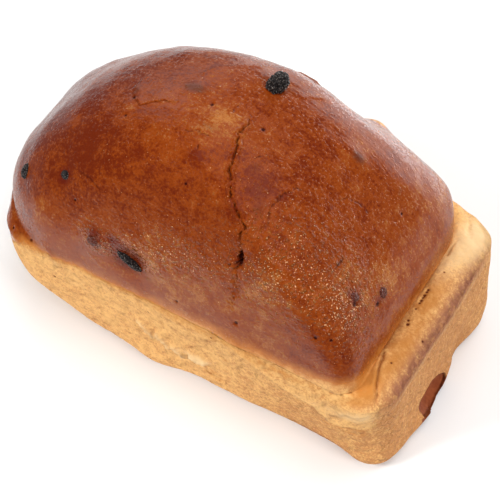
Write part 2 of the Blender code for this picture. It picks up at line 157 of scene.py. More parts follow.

# Path, height of the step, how far it runs out on its raised left side in millimetres, the painted shade at
# its foot and the painted highlight on its crest
FOLDS = [
    (SKYLINE_LIP, 0.9, 7.0, 1.0, 0.0),
    (OUTER_LIP, 0.7, 7.0, 1.0, 0.0),
    (SHEET_EDGE, 0.35, 6.0, 0.75, 0.0),
    (FAR_RIDGE, 0.8, 3.0, 0.0, 0.0),
    (SHEEN_RIDGE, 0.35, 3.5, 0.0, 0.0),
    (SMALL_RIDGE, 0.25, 2.5, 0.0, 0.0),
    (LEFT_FOLD, 1.2, 5.0, 0.6, 0.5),
    (GLAZE_WRINKLE, 0.35, 2.5, 0.2, 0.0),
    (CORNER_CREASE, 0.5, 4.0, 0.0, 0.3),
    (FRONT_LEDGE, 2.9, 7.0, 0.75, 0.35),
] + [(path, 2.4, 3.2, 0.55, 0.9) for path in WALL_FOLDS]

# Middle, reach along each axis and height (a hollow is below zero), in millimetres
SWELLS = [
    ((82, -49, 44), (12, 8, 7), 2.2), ((-17, -51, 68), (9, 8, 7), -2.2), ((-50, -41, 90), (6, 6, 6), -0.5),
    ((30, -44, 94), (3.5, 3.5, 4), -1.2), ((-32, -50, 72), (5, 5, 5), 0.8),
    ((-15, -1, 119), (7, 5, 4), 0.9), ((46, 12, 103), (5, 4, 4), 0.8), ((0, 32, 110), (14, 10, 12), 1.2),
    ((-27, 33, 105), (14, 10, 12), -0.8), ((34, 40, 96), (16, 10, 12), -1.9),
    ((70, 44, 66), (10, 10, 14), 2.5), ((-82, -8, 78), (15, 17, 16), -2.2),
    ((-62, 18, 96), (16, 14, 14), -0.6), ((-91, -37, 58), (6, 6, 6), 0.6), ((36, 48, 81), (7.5, 7, 5), 5.2),
    ((67, 54, 47), (9, 8, 9), 1.8), ((82, 48, 47), (6, 7, 8), -1.2), ((-90, -40, 46), (10, 10, 9), -1.6),
    ((-70, -49, 25), (19, 12, 15), 1.7), ((58, -48, 5), (26, 10, 10), -1.8),
    ((88, -46, 5), (11, 9, 9), 2.8), ((-13, -48, 6), (13, 8, 8), 2.2), ((94, 41, 12), (8, 8, 10), 1.7),
    ((94, 18, 7), (8, 6, 9), -3.2), ((95, -14, 4), (8, 16, 6), 2.6), ((95, 46, 30), (8, 8, 16), 0.9),
]
# Low relief too fine for the solid, given in the same way
FINE_SWELLS = [
    ((2.3, -11, 119.7), (5, 5, 5), 0.35), ((22, -37, 108), (5, 5, 5), 0.45),
    ((38, -36, 101), (7, 6, 6), 0.4), ((-60, -48, 72), (4, 4, 5), 0.4), ((40, -46, 88), (7, 5, 5), 0.4),
    ((20, -48, 84), (6, 5, 6), 0.35), ((64, -22, 88), (7, 7, 6), 0.5), ((11, -50, 25), (5, 5, 2), 0.8),
    ((90, -8, 48), (5, 22, 5), 0.6),
]

# Small pits, darkened with painted shade: place and radius in millimetres
PITS = [
    ((-4.5, -5.9, 120.2), 0.9), ((-34.4, -19.7, 111.6), 0.7), ((2.1, -35.2, 109.1), 0.7),
    ((-36, -11.4, 112.7), 1.0), ((-42.1, -46.4, 85.4), 0.7), ((5.5, -51.9, 60.4), 0.8),
    ((31.7, -51.6, 64.5), 1.0), ((64.1, -50, 75.7), 0.9), ((69.9, -47.7, 75.6), 0.8),
    ((-77.5, -47.6, 48), 0.8), ((-66.4, -50.3, 50.1), 0.9), ((82.6, -11.7, 52.0), 0.95),
    ((83.5, 17.2, 52.1), 0.55), ((81.9, 12.5, 53.2), 0.4), ((90.1, -14.4, 48.3), 0.65),
    ((85.5, -30.3, 50.9), 0.55), ((67.2, 10.9, 83.9), 0.8), ((70.8, -31.4, 79.3), 1.2),
    ((75.4, -22.4, 71.8), 1.1), ((-57.3, -51.1, 33.1), 0.9), ((-62.8, -49.3, 18.7), 0.9),
    ((-52.0, -52.0, 44.0), 1.3), ((20, -52.5, 47), 0.6), ((-10, -52, 42), 0.5), ((16.4, -4.5, 116.8), 1.0),
]
# The row of holes along the seam at the crust's foot: how far back each is, and its radius, in millimetres
SEAM_PITS = [
    (6.6, 0.7), (5.4, 0.8), (3.6, 0.9), (2.4, 0.75), (0.8, 0.85), (-0.6, 0.7), (-3.8, 0.6), (-9.9, 0.75),
]
PITS += [((81.9, back, 52.0), radius) for back, radius in SEAM_PITS]

# Browning of the crust: middle and reach in millimetres, and how much darker (below zero) or lighter
BROWNING = [
    ((-78, -14, 82), (28, 34, 28), -0.62), ((-50, -4, 106), (24, 24, 12), -0.3),
    ((-42, -32, 102), (22, 18, 18), -0.42), ((-30, 30, 106), (30, 26, 20), -0.1),
    ((-14, -36, 107), (30, 16, 16), -0.36), ((26, -26, 111), (12, 16, 10), -0.48),
    ((34, 2, 108), (24, 22, 14), -0.42), ((2.3, -11, 119.7), (7.5, 6.5, 5.5), 0.85),
    ((-17, -25.7, 115), (5, 5.5, 6), 0.55), ((-60, -47.6, 72), (4.5, 4, 5.5), 0.6),
    ((2.6, -26.6, 116), (4.5, 3, 4), -0.45), ((45, 18.5, 102), (4, 3.5, 5), 0.6),
    ((73, -12, 76), (5, 6, 6), 0.55), ((64, -26, 89), (5, 6, 6), 0.45), ((71, -24, 77), (5, 5, 5), 0.3),
    ((52, -44, 88), (20, 14, 14), 0.12), ((-24, -51, 76), (10, 5, 6), -0.1),
    ((74, -46, 66), (16, 12, 14), -0.42), ((28, -50, 80), (5, 4, 10), -0.2),
    ((0, -50, 68), (52, 14, 14), 0.38), ((-24, 4, 116), (26, 24, 10), -0.1),
]

# Where the brown crust reaches below its line, or stops above it (below zero) at the near corner and at the
# pale flake behind the skyline: middle, reach and how far, in millimetres
LOWER_CRUST = [
    ((-93, -14, 43), (15, 42, 18), 60.0), ((-66, -50, 50), (22, 10, 14), 6.0),
    ((-22, -52, 50), (26, 8, 12), 4.0),
    ((80, -51, 55), (15, 8, 9), -4.0),
    ((34, 48, 82), (5.5, 5, 3.5), -62.0), ((41, 49, 84.5), (5, 5, 2.8), -62.0),
]

# Purple-grey bruises over raisins under the skin: middle, reach and strength
BRUISES = [
    ((-14.6, -1.8, 119.2), (5.5, 2.6, 4), 1.0), ((46.3, 12.3, 102.3), (3.2, 2.6, 3.2), 0.9),
    ((22, -20, 113.5), (3, 4, 3), 0.45), ((27, -25, 111), (3, 5, 3), 0.35),
    ((30.5, -32, 108), (3.5, 6, 4), 0.45), ((1, -15, 119), (8, 2.4, 3), 0.4),
    ((60.6, -26, 90.7), (1.6, 4, 2), 0.5), ((62.9, 16.5, 88.5), (1.6, 2.6, 2), 0.5),
    ((-8, -51.6, 64), (5, 3, 3), 0.4), ((-37, -8, 112.3), (2.2, 4, 2.5), 0.7),
    ((51.5, 21.8, 97.1), (1.8, 1.8, 1.8), 0.4), ((42, -37, 100), (6, 5, 5), 0.2),
]

# Dark red juice round the raisins: middle, reach and strength
STAINS = [
    ((-50.1, -41.2, 88.4), (4.2, 3.8, 6.0), 1.0), ((-73.4, -38, 72.6), (2.4, 2.4, 3.2), 0.5),
    ((9.4, 14.6, 117.4), (4.6, 3.6, 4), 0.9), ((-17.4, -51, 69.5), (8.2, 8, 7.0), 1.15),
    ((-24, -50, 76), (4, 5, 4), 0.6), ((-32.2, -50, 73.8), (3.2, 4, 6.2), 0.95),
    ((69.4, -29.7, 81.2), (4.6, 4.0, 4.2), 0.85), ((74.9, -17.5, 73), (3.8, 3.6, 3.4), 0.7),
    ((74.5, -22.5, 72.5), (2.0, 2.6, 2.4), 0.6), ((30.2, -44.8, 93.2), (3.0, 2.4, 3), 0.6),
    ((16.4, -4.5, 116.8), (1.5, 1.5, 1.5), 0.5), ((77.8, -15.5, 66.7), (1.6, 2.8, 1.6), 0.5),
    ((29.5, -49, 79), (1.8, 3, 8), 0.3),
]

# Where the glaze blistered, and where it is smooth: middle, reach and strength
BLISTERS = [
    ((48, -38, 94), (26, 20, 20), 0.9), ((10, -47, 86), (20, 10, 12), 0.6),
    ((-8, -50, 76), (18, 8, 10), 0.5), ((68, -34, 78), (14, 16, 12), 0.8),
    ((-22, -50, 72), (12, 6, 6), 0.9), ((-34, -50, 73), (6, 5, 6), 0.8),
    ((-20, -20, 116), (50, 30, 20), 0.15),
]

# Pale cream skin that the heat hardly reached, and amber skin: middle, reach and strength
CREAM = [
    ((86, 40, 50), (9, 17, 7), 0.85), ((38, 49, 84), (8, 6, 6), 0.45), ((82, 20, 52), (5, 12, 5), 0.35),
    ((84, -50, 43.5), (7.5, 6, 4.2), 0.55), ((74, -52, 41), (9, 5, 4), 0.3),
    ((11, -50, 25), (6, 4, 2.0), 0.8), ((-84, -42, 47), (6, 6, 3.5), 0.3),
]
AMBER = [
    ((82, -44, 52), (5, 8, 5), 0.9), ((86, -26, 50.5), (6, 18, 5), 0.75), ((84, 4, 52), (5, 14, 4), 0.65),
    ((88, 12, 48), (4, 24, 4), 0.3), ((20, -53, 50), (70, 4, 4.5), 0.55), ((80, -51, 28), (10, 5, 6), 0.45),
    ((-72, -48, 44), (12, 8, 5), 0.25), ((-8, -50, 29), (8, 4, 5), 0.3), ((18, -49, 16), (10, 4, 4), 0.35),
    ((86, 30, 51), (3, 3, 3), 0.35),
]

# The flake behind the skyline, which is toasted: middle, reach and strength
TOASTED_FLAKE = [((38, 49, 83), (9, 6, 7), 0.9)]

# The burst hollow low in the end wall: its middle, radii and tilt, how ragged its edge is, the grain of that,
# and the depth at which it shows torn crumb
HOLLOW_MIDDLE = np.array([97.0, -9.5, 9.9]) * MM
HOLLOW_RADII = np.array([6.3, 12.3, 7.3]) * MM
HOLLOW_TILT = math.radians(-14.0)
HOLLOW_RAGGEDNESS = 0.16
HOLLOW_EDGE_GRAIN = 6.0 * MM
TORN_DEPTH = 1.2 * MM

# Raisins: radii in millimetres, turns in degrees, depth of the wrinkles in millimetres, seed, how often the
# ball is divided, and skin
RAISINS = {
    "raisin_top": ((6.1, 4.8, 4.6), (15, -20, 72), 1.35, 3, 6, "dry"),
    "raisin_front": ((6.9, 2.6, 2.5), (10, 24, -4), 0.85, 7, 6, "dry"),
    "raisin_left": ((3.6, 2.5, 2.1), (0, -44, 90), 0.35, 11, 5, "dry"),
    "raisin_spot": ((2.6, 2.2, 2.4), (20, 10, 0), 0.35, 13, 5, "dry"),
    "raisin_glazed": ((3.2, 2.3, 3.4), (0, 15, 10), 0.40, 17, 5, "glazed"),
    "raisin_end": ((3.3, 3.0, 2.3), (0, 40, 15), 0.30, 19, 5, "glazed"),
    "raisin_end_lower": ((3.1, 2.4, 2.1), (0, 30, 40), 0.30, 23, 5, "glazed"),
}
WRINKLE_SIZE = 0.40

# Each raisin skin's roughness and how strong its pale specks are, part dusty bloom and part painted glints
SKINS = {"dry": (0.22, 0.5), "glazed": (0.14, 0.35)}

# Each lamp's turn round the loaf and height over the table in degrees, its distance, width and height in
# metres, its power in watts, and whether it gives light, shows in the glaze or does both
LAMPS = [
    ("back", 174, 12, 1.30, 1.8, 0.60, 9.0, "both"),
    ("back_left", -140, 30, 1.30, 1.0, 0.9, 1.3, "both"),
    ("top", 180, 84, 1.40, 1.2, 1.2, 3.4, "both"),
    ("sky", -126, 32, 1.30, 0.9, 0.7, 2.0, "glaze"),
    ("right", 100, 18, 1.20, 0.7, 0.5, 0.6, "both"),
    ("sparkle", 46, 46, 1.10, 0.10, 0.10, 1.6, "both"),
    ("overhead", 150, 72, 1.40, 1.0, 1.0, 9.0, "light"),
    ("key", -38, 36, 1.30, 0.34, 0.34, 12.6, "light"),
    ("fill", 80, 30, 1.30, 0.5, 0.5, 8.4, "light"),
    ("low", -8, 8, 1.30, 0.9, 0.5, 2.2, "light"),
]

# The lamp over the floor behind the loaf: its place and size in metres, its spread in degrees and its watts
FLOOR_LAMP_PLACE = (0.12, 0.48, 0.80)
FLOOR_LAMP_SIZE = (0.30, 0.16)
FLOOR_LAMP_SPREAD = 46.0
FLOOR_LAMP_POWER = 2.3

# The floor is pale in a strip that runs back from the camera and behind the loaf, and darkens outside it:
# the strip's half width and front end, and where the back part starts, each as (pale, dark) in metres
FLOOR_SIDE = (0.145, 0.25)
FLOOR_FRONT = (-0.13, -0.22)
FLOOR_BACK = (0.22, 0.08)
FLOOR_PALE = (0.84, 0.84, 0.84)
FLOOR_DARK = (0.17, 0.17, 0.17)
FLOOR_REACH = 6.0
WORLD_STRENGTH = 0.10

# The camera: turn round the loaf, height over the table and roll in degrees, distance in metres, what it
# looks at, and its lens and sensor in millimetres
CAMERA_TURN = 34.02
CAMERA_HEIGHT = 51.88
CAMERA_ROLL = -3.0
CAMERA_DISTANCE = 0.55
CAMERA_TARGET = Vector((10.82, -10.72, 50.0)) * MM
CAMERA_LENS = 99.8
CAMERA_SENSOR = 36.0


def length(name, description, default, lowest=0.0):
    return FloatProperty(name=name, description=description, default=default * MM, min=lowest, unit="LENGTH",
                         precision=5)


def share(name, description, default):
    return FloatProperty(name=name, description=description, default=default)


def colour(name, description, default):
    return FloatVectorProperty(name=name, description=description, default=default, size=3, min=0.0, max=1.0,
                               subtype="COLOR")


class TinLoafShape(bpy.types.PropertyGroup):
    """Sizes of the loaf, as reaches from its middle."""

    base_left: length("Base left", "Reach of the flat base to the left", 67.0)
    base_right: length("Base right", "Reach of the flat base to the right", 95.2)
    base_half_width: length("Base half width", "Half the width of the base", 47.5)
    rim_left: length("Rim left", "Reach of the rim to the left", 92.6)
    rim_right: length("Rim right", "Reach of the rim to the right", 93.0)
    rim_half_width: length("Rim half width", "Half the width at the rim", 52.5)
    rim_height: length("Rim height", "Height of the walls", 46.6)
    left_undercut: share("Left undercut", "How quickly the left end draws in towards the floor", 3.3)
    base_right_corner: length("Base right corners", "Corner radius of the base at the right", 16.0)
    base_left_corner: length("Base left corners", "Corner radius of the base at the left", 39.5)
    rim_right_corner: length("Rim right corners", "Corner radius of the rim at the right", 15.3)
    rim_left_corner: length("Rim left corners", "Corner radius of the rim at the left", 26.0)
    foot_rounding: length("Foot rounding", "Radius where the walls meet the base", 6.5)
    crust_left: length("Crust left", "Reach of the brown crust to the left", 95.2)
    crust_right: length("Crust right", "Reach of the brown crust to the right", 80.3)
    crust_front: length("Crust front", "Reach of the brown crust to the front", 52.3)
    crust_back: length("Crust back", "Reach of the brown crust to the back", 49.1)
    crust_height: length("Crust height", "Height where the brown crust starts", 51.8)
    crust_back_corner: length("Crust back corner", "Corner radius of the crust at the back right", 23.6)
    crust_left_corner: length("Crust left corners", "Corner radius of the crust at the left", 41.5)
    crust_front_corner: length("Crust front corner", "Corner radius of the crust at the front right", 7.0)
    shelf_crown: length("Shelf crown", "How much the shelf bulges", 1.8)
    seam_depth: length("Seam depth", "How far the shelf draws in under the crust", 1.5)
    seam_end: length("Seam end", "Distance to the front where the seam has faded out", 36.0)
    seam_fade: length("Seam fade", "Length over which the seam fades out", 12.0)
    dome_rise: length("Dome rise", "Rise of the dome over the crust line before it settled", 75.0)
    peak_shift: length("Peak shift", "Place of the peak along the loaf", -2.7, lowest=-1.0)
    left_shoulder: share("Left shoulder", "How much the left end slopes instead of rounding", 0.41)
    right_shoulder: share("Right shoulder", "How much the right end slopes instead of rounding", 0.22)
    cross_roundness: share("Cross roundness", "Roundness of the dome across the loaf", 2.32)
    rise_roundness: share("Rise roundness", "Roundness of the dome's rise", 1.92)
    oval_growth: share("Oval growth", "How quickly the level lines become ovals", 0.76)
    right_lean: share("Right lean", "How much higher the right end rose", 0.03)
    crown_height: length("Crown height", "Height that the settled crown doesn't pass", 123.9)
    crown_softness: length("Crown softness", "Over what height the crown flattens", 7.0)
    swell_height: length("Swell height", "Height of the slow unevenness of the dough", 0.7)
    swell_wave: length("Swell wave", "Length of the slow unevenness", 26.0)
    lump_height: length("Lump height", "Height of the quick unevenness of the dough", 0.3)
    lump_wave: length("Lump wave", "Length of the quick unevenness", 9.0)
    pebble_height: length("Pebble height", "Height of the blistered glaze", 0.16)
    pebble_size: length("Pebble size", "Size of the glaze's blisters", 2.6)
    grain_height: length("Grain height", "Height of the walls' coarse grain", 0.24)
    grain_size: length("Grain size", "Size of the walls' coarse grain", 4.6)
    seed: IntProperty(name="Seed", description="Seed of the fine relief", default=4)


class TinLoafColours(bpy.types.PropertyGroup):
    """Colours of the crust, the walls and the raisins."""

    crust_dark: colour("Dark crust", "Most browned glaze", (0.125, 0.014, 0.002))
    crust_brown: colour("Brown crust", "Common glaze", (0.226, 0.0385, 0.003))
    crust_orange: colour("Orange crust", "Least browned glaze", (0.370, 0.128, 0.028))
    # Painted glints: pale specks that stand for glints on the glaze
    crust_painted_glint: colour("Flecks", "Pale flecks in the glaze", (0.820, 0.470, 0.240))
    crust_gold: colour("Gold edge", "Edge of the crust", (0.520, 0.180, 0.032))
    wall_pale: colour("Pale wall", "Least browned wall", (0.780, 0.440, 0.160))
    # Tan of browning, and of the painted shade on the end wall and under the front ledge
    wall_tan_and_shade: colour("Tan wall", "Most browned wall", (0.520, 0.228, 0.080))
    # Cream skin, also used for the painted highlights on fold crests and along the end wall below the rim
    cream_and_highlight: colour("Cream skin", "Skin that hardly browned", (0.790, 0.530, 0.270))
    amber: colour("Amber skin", "Smooth golden skin", (0.500, 0.190, 0.036))
    rim_band: colour("Rim band", "Brown band along the rim", (0.270, 0.100, 0.055))
    bruise: colour("Bruise", "Skin over a raisin", (0.085, 0.022, 0.012))
    stain: colour("Stain", "Juice round a raisin", (0.110, 0.010, 0.003))
    # Painted shade laid into cracks, creases, fold feet and pits
    painted_shade_colour: colour("Pit", "Inside of cracks and pits", (0.220, 0.090, 0.055))
    torn: colour("Torn crumb", "Wall of the burst hollow", (0.270, 0.066, 0.018))
    raisin: colour("Raisin", "Dry raisin skin", (0.011, 0.008, 0.008))
    glazed_raisin: colour("Glazed raisin", "Raisin under the glaze", (0.110, 0.018, 0.007))


def column_shares():
    """Where the columns stand along each level line, sparser along the side that faces away."""
    fine = np.linspace(0, 1, 4001)
    low, high = HIDDEN_SIDE
    ease = np.clip((fine - low) / HIDDEN_SIDE_FADE, 0, 1) * np.clip((high - fine) / HIDDEN_SIDE_FADE, 0, 1)
    density = 1 - (1 - 1 / HIDDEN_SIDE_SPARSENESS) * ease
    counted = np.r_[0, np.cumsum((density[1:] + density[:-1]) / 2)]
    return np.interp(np.linspace(0, 1, COLUMNS, endpoint=False), counted / counted[-1], fine)


def rounded_outline(left, right, half_front, half_back, corners, shares):
    """A rectangle with rounded corners as points at these shares, counterclockwise seen from above."""
    arcs = []
    for side_x, side_y, start, radius in zip((1, -1, -1, 1), (1, 1, -1, -1), (0, 90, 180, 270), corners):
        centre_x = side_x * ((right if side_x > 0 else left) - radius)
        centre_y = side_y * ((half_back if side_y > 0 else half_front) - radius)
        angles = np.radians(np.linspace(start, start + 90, 120))
        arcs.append(np.c_[centre_x + radius * np.cos(angles), centre_y + radius * np.sin(angles)])
    path = np.concatenate(arcs + [arcs[0][:1]])
    travelled = np.r_[0, np.cumsum(np.linalg.norm(np.diff(path, axis=0), axis=1))]
    wanted = shares * travelled[-1]
    return np.c_[np.interp(wanted, travelled, path[:, 0]), np.interp(wanted, travelled, path[:, 1])]


def body_ring(shape, part, shares):
    """The body's outline at this part of the rim's height. Its left end draws in towards the floor."""
    height = part * shape.rim_height
    drop = max(0.0, shape.foot_rounding - height)
    inset = shape.foot_rounding - math.sqrt(shape.foot_rounding**2 - drop**2)
    low = (1 - part) ** shape.left_undercut
    left = shape.rim_left - (shape.rim_left - shape.base_left) * low - inset
    right = shape.base_right + (shape.rim_right - shape.base_right) * part - inset
    half = shape.base_half_width + (shape.rim_half_width - shape.base_half_width) * part - inset
    left_corner = shape.rim_left_corner + (shape.base_left_corner - shape.rim_left_corner) * low
    right_corner = shape.base_right_corner + (shape.rim_right_corner - shape.base_right_corner) * part
    corners = (right_corner, left_corner, left_corner, right_corner)
    return np.c_[rounded_outline(left, right, half, half, corners, shares), np.full(len(shares), height)]


def crust_corners(shape):
    left = shape.crust_left_corner
    return (shape.crust_back_corner, left, left, shape.crust_front_corner)


def shelf_ring(shape, part, shares):
    """Between rim and crust line: fuller where the shelf is wide, and drawn in under the crust there."""
    rim = body_ring(shape, 1.0, shares)
    outline = rounded_outline(shape.crust_left, shape.crust_right, shape.crust_front, shape.crust_back,
                              crust_corners(shape), shares)
    crust = np.c_[outline, np.full(len(shares), shape.crust_height)]
    ring = rim * (1 - part) + crust * part
    wide = np.linalg.norm((rim - crust)[:, :2], axis=1) / (shape.rim_right - shape.crust_right)
    wide = np.clip(wide, 0, 1)
    fade = np.clip((ring[:, 1] + shape.seam_end) / shape.seam_fade, 0, 1)
    seam = shape.seam_depth * part**6 * wide * fade
    ring[:, 2] += shape.shelf_crown * math.sin(math.pi * part) * wide - seam
    ring[:, 0] -= np.sign(ring[:, 0]) * seam
    return ring


def settled(shape, height):
    """The height after the top has sunk a little under its own weight."""
    soft = shape.crown_softness
    return -soft * np.log(np.exp(-height / soft) + math.exp(-shape.crown_height / soft))


def dome_ring(shape, angle, shares):
    """A level line of the dome: the tin's rounded rectangle low down, nearly an oval at the peak."""
    cosine = math.cos(angle)
    rise = math.sin(angle) ** (2 / shape.rise_roundness)
    ends = []
    for reach, shoulder in ((shape.crust_left + shape.peak_shift, shape.left_shoulder),
                            (shape.crust_right - shape.peak_shift, shape.right_shoulder)):
        ends.append(reach * cosine * (shoulder + (1 - shoulder) * cosine))
    across = cosine ** (2 / shape.cross_roundness)
    half = (shape.crust_front + shape.crust_back) / 2 * across
    oval = (1 - across) ** shape.oval_growth
    largest = 0.98 * min(half, sum(ends) / 2)
    corners = [min(radius * (1 - oval) + largest * oval, largest) for radius in crust_corners(shape)]
    outline = rounded_outline(ends[0], ends[1], half, half, corners, shares)
    x = outline[:, 0] + shape.peak_shift
    y = outline[:, 1] + (shape.crust_back - shape.crust_front) / 2
    full = shape.dome_rise * (1 + shape.right_lean * (x - shape.peak_shift) / shape.crust_left)
    return np.c_[x, y, settled(shape, shape.crust_height + full * rise)]


def smoothed_round(rings, times):
    """The rings with the kinks between straights and arcs eased, by averaging along each ring."""
    for _ in range(times):
        rings = rings * 0.5 + (np.roll(rings, 1, axis=1) + np.roll(rings, -1, axis=1)) * 0.25
    return rings


def skin_grid(shape):
    """The smooth loaf as rings of points, with each point's outward normal, its distance above the crust line
    and its distance inwards from the rim, both along the skin."""
    shares = column_shares()
    foot = body_ring(shape, 0.0, shares)
    middle = foot.mean(axis=0)
    rings = [middle + (foot - middle) * part for part in BASE_RINGS]
    rings += [body_ring(shape, part**WALL_CROWDING, shares) for part in np.linspace(0, 1, WALL_RINGS)]
    rim = len(rings) - 1
    rings += [shelf_ring(shape, part, shares) for part in np.linspace(0, 1, SHELF_RINGS + 1)[1:]]
    crust = len(rings) - 1
    angles = np.radians(np.linspace(0, 90, DOME_RINGS + 1)[1:-1])
    rings += [dome_ring(shape, angle, shares) for angle in angles]
    rings = np.array(rings)
    rings[crust + 1:] = smoothed_round(rings[crust + 1:], DOME_SMOOTHING)
    steps = np.linalg.norm(np.diff(rings, axis=0), axis=2)
    travelled = np.concatenate([np.zeros((1, COLUMNS)), np.cumsum(steps, axis=0)])
    above_crust = travelled - travelled[crust]
    in_from_rim = travelled - travelled[rim]
    along = np.roll(rings, -1, axis=1) - np.roll(rings, 1, axis=1)
    up = np.gradient(rings, axis=0)
    normals = np.cross(along, up)
    normals /= np.maximum(np.linalg.norm(normals, axis=2, keepdims=True), 1e-12)
    return rings, normals, above_crust, in_from_rim


def skin_mesh(shape):
    """The smooth loaf as a closed mesh that carries the normals and both distances as attributes."""
    rings, normals, above_crust, in_from_rim = skin_grid(shape)
    count = len(rings)
    top = np.array([[shape.peak_shift, (shape.crust_back - shape.crust_front) / 2,
                     settled(shape, shape.crust_height + shape.dome_rise)]])
    points = np.concatenate([rings[0].mean(axis=0)[None], rings.reshape(-1, 3), top])
    ways = np.concatenate([[[0, 0, -1]], normals.reshape(-1, 3), [[0, 0, 1]]])
    above = np.r_[above_crust[0].mean(), above_crust.ravel(), above_crust[-1].mean()]
    inward = np.r_[in_from_rim[0].mean(), in_from_rim.ravel(), in_from_rim[-1].mean()]
    index = 1 + np.arange(count * COLUMNS).reshape(count, COLUMNS)
    after = np.roll(index, -1, axis=1)
    faces = np.stack([index[:-1], after[:-1], after[1:], index[1:]], axis=-1).reshape(-1, 4).tolist()
    faces += [(0, int(b), int(a)) for a, b in zip(index[0], after[0])]
    faces += [(int(a), int(b), len(points) - 1) for a, b in zip(index[-1], after[-1])]
    mesh = bpy.data.meshes.new("skin")
    mesh.from_pydata(points.tolist(), [], faces)
    put_field(mesh, "above_crust", above)
    put_field(mesh, "in_from_rim", inward)
    layer = mesh.attributes.new("skin_normal", "FLOAT_VECTOR", "POINT")
    layer.data.foreach_set("vector", ways.astype(np.float32).ravel())
    return mesh


def put_field(mesh, name, values):
    layer = mesh.attributes.get(name) or mesh.attributes.new(name, "FLOAT", "POINT")
    layer.data.foreach_set("value", np.asarray(values, np.float32))


def get_field(mesh, name, width=1):
    values = np.empty(len(mesh.vertices) * width, np.float32)
    mesh.attributes[name].data.foreach_get("value" if width == 1 else "vector", values)
    return values.astype(float) if width == 1 else values.reshape(-1, width).astype(float)


def points_of(mesh):
    values = np.empty(len(mesh.vertices) * 3, np.float32)
    mesh.vertices.foreach_get("co", values)
    return values.reshape(-1, 3).astype(float)


def walk(path, skin):
    """Points every short step along a path, on the skin, with the way ahead and the share of the path."""
    corners = [skin.find_nearest(Vector(point) * MM)[0] for point in path]
    found = []
    for start, end in zip(corners, corners[1:]):
        pieces = max(1, round((end - start).length / PATH_STEP))
        found += [skin.find_nearest(start.lerp(end, k / pieces))[0] for k in range(pieces)]
    found = np.array([*found, corners[-1]])
    ahead = np.gradient(found, axis=0)
    average = np.ones(AHEAD_STEPS) / AHEAD_STEPS
    ahead = np.array([np.convolve(ahead[:, k], average, "same") for k in range(3)]).T
    ahead /= np.maximum(np.linalg.norm(ahead, axis=1, keepdims=True), 1e-12)
    return found, ahead, np.linspace(0, 1, len(found))


def nearest_on(walked, points, reach):
    """Which points are within reach of the walked path, their distance to it and the nearest step."""
    found = walked[0]
    near = np.all((points > found.min(axis=0) - reach) & (points < found.max(axis=0) + reach), axis=1)
    chosen = np.nonzero(near)[0]
    away = np.empty(len(chosen))
    step = np.empty(len(chosen), int)
    for start in range(0, len(chosen), BLOCK):
        part = slice(start, start + BLOCK)
        square = ((points[chosen[part], None, :] - found[None, :, :]) ** 2).sum(axis=2)
        step[part] = square.argmin(axis=1)
        away[part] = np.sqrt(square.min(axis=1))
    close = away < reach
    return chosen[close], away[close], step[close]


def spread(points, patches):
    """The sum of soft patches at each point. Their places and reaches are in millimetres."""
    total = np.zeros(len(points))
    for middle, reach, amount in patches:
        away = (((points / MM - np.array(middle)) / np.array(reach)) ** 2).sum(axis=1)
        total += amount * np.exp(-away)
    return total


def noise_at(points, wave, shift=(0, 0, 0)):
    offset = Vector(shift)
    return np.array([noise.noise(Vector(point) / wave + offset) for point in points])


def ragged(points, size, wave):
    """The points moved a little by noise, so that a path through them wanders."""
    return points + size * np.stack([noise_at(points, wave, shift) for shift in WANDER_SHIFTS], axis=1)


def cut_groove(walked, sizes, points, height, painted_shade):
    """A ragged groove with a lip on either side and painted shade along it, which fades towards its ends."""
    half, depth, lip = (size * MM for size in sizes[:3])
    shade, stray = sizes[3:]
    chosen, _, _ = nearest_on(walked, points, 5 * half + 3 * MM)
    wandering = ragged(points[chosen], stray * (0.5 * half + 0.25 * MM), 1.3 * MM)
    wandering = ragged(wandering, stray * (0.5 * half + 0.6 * MM), 3.4 * MM)
    kept, away, step = nearest_on(walked, wandering, 5 * half)
    chosen = chosen[kept]
    place = walked[2][step]
    fade = np.minimum(1.0, 7 * np.minimum(place, 1 - place) + 0.25)
    width = half * (0.8 + 0.5 * noise_at(walked[0][step], 3.0 * MM, (9, 1, 4)))
    height[chosen] -= fade * depth * np.clip(1 - (away / width) ** 2, 0, 1)
    height[chosen] += fade * lip * np.exp(-(((away - 1.9 * half) / (0.9 * half)) ** 2))
    # Painted shade in the groove
    painted_shade[chosen] = np.maximum(painted_shade[chosen], fade * shade * np.clip(1.25 - away / (1.1 * width), 0, 1))


def raise_fold(walked, sizes, points, normals, height, painted_shade, crest_highlight):
    """A step in the skin, raised on its left, with painted shade at its foot on the right and a painted crest
    highlight.
    """
    rise, run = sizes[0] * MM, sizes[1] * MM
    shade, pale = sizes[2:]
    chosen, _, _ = nearest_on(walked, points, 3 * run + 2 * MM)
    wandering = ragged(points[chosen], 0.6 * MM, 3.0 * MM)
    kept, away, step = nearest_on(walked, wandering, 3 * run)
    wandering, chosen = wandering[kept], chosen[kept]
    place = walked[2][step]
    fade = np.minimum(1.0, 5 * np.minimum(place, 1 - place))
    side = np.einsum("ij,ij->i", np.cross(normals[chosen], walked[1][step]), wandering - walked[0][step])
    left = side > 0
    height[chosen[left]] += (fade * rise * np.exp(-away / run))[left]
    height[chosen[~left]] += (fade * rise * 0.35 * np.exp(-away / (0.10 * run)))[~left]
    # Painted highlight on the fold's crest
    lit = fade * pale * np.exp(-away / (1.6 * MM))
    crest_highlight[chosen[left]] = np.maximum(crest_highlight[chosen[left]], lit[left])
    # Painted shade at the fold's foot
    foot = fade * shade * np.clip(1.1 - away / (0.9 * MM), 0, 1)
    painted_shade[chosen[~left]] = np.maximum(painted_shade[chosen[~left]], foot[~left])


